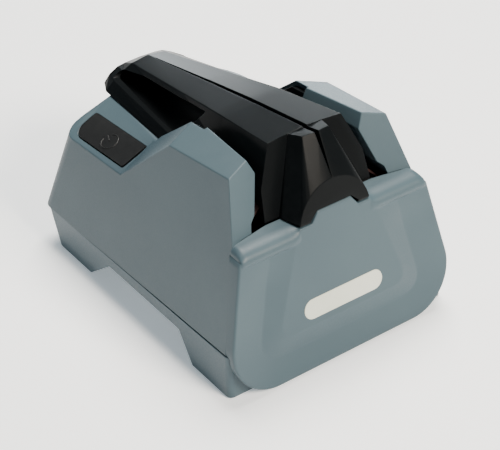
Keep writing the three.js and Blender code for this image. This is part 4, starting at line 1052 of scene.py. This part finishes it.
def roundBar(tree, curve, width, sides=12):
    radius = maths(tree, "MULTIPLY", width, 0.5)
    circle = addNode(tree, "GeometryNodeCurvePrimitiveCircle", Resolution=sides, Radius=radius)
    profile = circle.outputs["Curve"]
    swept = addNode(tree, "GeometryNodeCurveToMesh", Curve=curve, Profile_Curve=profile, Fill_Caps=True)
    return swept.outputs["Mesh"]


def makeMarkTree(steps=56):
    sizes = ("Ring Radius", "Line Width", "Gap Angle", "Bar Length")
    inputs = {label: "NodeSocketFloat" for label in sizes}
    tree, given, out = newTree("raisedMark", {**inputs, "Finish": "NodeSocketMaterial"})
    radius = given["Ring Radius"]
    start = maths(tree, "ADD", maths(tree, "MULTIPLY", given["Gap Angle"], 0.5), math.pi / 2)
    sweep = maths(tree, "SUBTRACT", 2 * math.pi, given["Gap Angle"])
    arc = addNode(
        tree, "GeometryNodeCurveArc", Resolution=steps, Radius=radius, Start_Angle=start, Sweep_Angle=sweep,
    )
    low = joinVector(tree, Y=maths(tree, "SUBTRACT", radius, given["Bar Length"]))
    line = addNode(tree, "GeometryNodeCurvePrimitiveLine", Start=low, End=joinVector(tree, Y=radius))
    bars = [roundBar(tree, curve.outputs["Curve"], given["Line Width"]) for curve in (arc, line)]
    finishTree(tree, bars, given["Finish"], out)
    return tree


def makeRibTree():
    sizes = ("Across", "Along", "Middle", "Rib Length", "Rib Width", "Rib Pitch")
    inputs = {label: "NodeSocketFloat" for label in sizes}
    inputs = {**inputs, "Ribs": "NodeSocketInt", "Finish": "NodeSocketMaterial"}
    tree, given, out = newTree("footRibs", inputs)
    across, along = given["Across"], given["Along"]
    feet = addNode(
        tree, "GeometryNodeMeshGrid", Size_X=across, Size_Y=along, Vertices_X=2, Vertices_Y=2,
    )
    shift = joinVector(tree, Y=given["Middle"], Z=maths(tree, "MULTIPLY", given["Rib Width"], 0.5))
    placed = addNode(tree, "GeometryNodeTransform", Geometry=feet.outputs["Mesh"], Translation=shift)
    left = joinVector(tree, X=maths(tree, "MULTIPLY", given["Rib Length"], -0.5))
    right = joinVector(tree, X=maths(tree, "MULTIPLY", given["Rib Length"], 0.5))
    line = addNode(tree, "GeometryNodeCurvePrimitiveLine", Start=left, End=right)
    rib = roundBar(tree, line.outputs["Curve"], given["Rib Width"])
    spans = maths(tree, "SUBTRACT", given["Ribs"], 1.0)
    depth = maths(tree, "MULTIPLY", spans, given["Rib Pitch"])
    first = joinVector(tree, Y=maths(tree, "MULTIPLY", depth, -0.5))
    step = joinVector(tree, Y=given["Rib Pitch"])
    row = addNode(tree, "GeometryNodeMeshLine", Count=given["Ribs"], Start_Location=first, Offset=step)
    ribs = addNode(tree, "GeometryNodeInstanceOnPoints", Points=row.outputs["Mesh"], Instance=rib)
    points, group = placed.outputs["Geometry"], ribs.outputs["Instances"]
    onFeet = addNode(tree, "GeometryNodeInstanceOnPoints", Points=points, Instance=group)
    finishTree(tree, [given["Geometry"], onFeet.outputs["Instances"]], given["Finish"], out)
    return tree


def grown(name, mesh, tree, values):
    piece = newObject(name, mesh)
    grower = piece.modifiers.new(name, "NODES")
    grower.node_group = tree
    sockets = [item for item in tree.interface.items_tree if item.in_out == "INPUT"]
    keys = {item.name: item.identifier for item in sockets}
    for label, value in values.items():
        grower[keys[label]] = value
    return baked(piece)


buttonMark = {
    "centre": (-44.9, 45.9, 68.27),
    "normal": (-0.354972, 0.037365, 0.934130),
    "turnDegrees": -24.0,
    "capProud": 0.8,
    "proud": 0.34,
    "flat": 0.8,
    "sizes": {"Ring Radius": 4.6, "Line Width": 0.95, "Gap Angle": 1.1, "Bar Length": 3.9},
}


def makeButtonMark(settings):
    sizes = settings["sizes"].items()
    values = {label: size if "Angle" in label else size * mm for label, size in sizes}
    values["Finish"] = finishes["blackButton"]
    piece = grown("buttonMark", bpy.data.meshes.new("buttonMark"), makeMarkTree(), values)
    normal = Vector(settings["normal"]).normalized()
    right = Vector((0, 1, 0)).cross(normal).normalized()
    up = normal.cross(right)
    turn = math.radians(settings["turnDegrees"])
    across = right * math.cos(turn) + up * math.sin(turn)
    along = up * math.cos(turn) - right * math.sin(turn)
    halfBar = settings["flat"] * settings["sizes"]["Line Width"] / 2
    height = settings["capProud"] + settings["proud"] - halfBar
    place = Matrix((across, along, normal * settings["flat"])).transposed().to_4x4()
    place.translation = (Vector(settings["centre"]) + normal * height) * mm
    piece.data.transform(place)
    smoothed(piece.data)
    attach(piece, "button")


footRibs = {
    "pads": ("foot_pad_front_left", "foot_pad_front_right", "foot_pad_back_left", "foot_pad_back_right"),
    "raised": 0.7,
    "sizes": {
        "Across": 104.8,
        "Along": 136.1,
        "Middle": -2.05,
        "Rib Length": 10.6,
        "Rib Width": 1.2,
        "Rib Pitch": 2.6,
    },
    "ribs": 4,
}


def makeFootPads(settings):
    made = weldedCopy(*settings["pads"])
    for vert in made.verts:
        vert.co.z = max(vert.co.z, settings["raised"] * mm)
    values = {label: size * mm for label, size in settings["sizes"].items()}
    values["Ribs"] = settings["ribs"]
    values["Finish"] = finishes["softRubber"]
    piece = grown("footPads", meshFrom(made, "footPads"), makeRibTree(), values)
    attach(piece, "base")
    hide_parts(*settings["pads"])


makeButtonMark(buttonMark)
makeFootPads(footRibs)
print("button mark and foot pads are on")
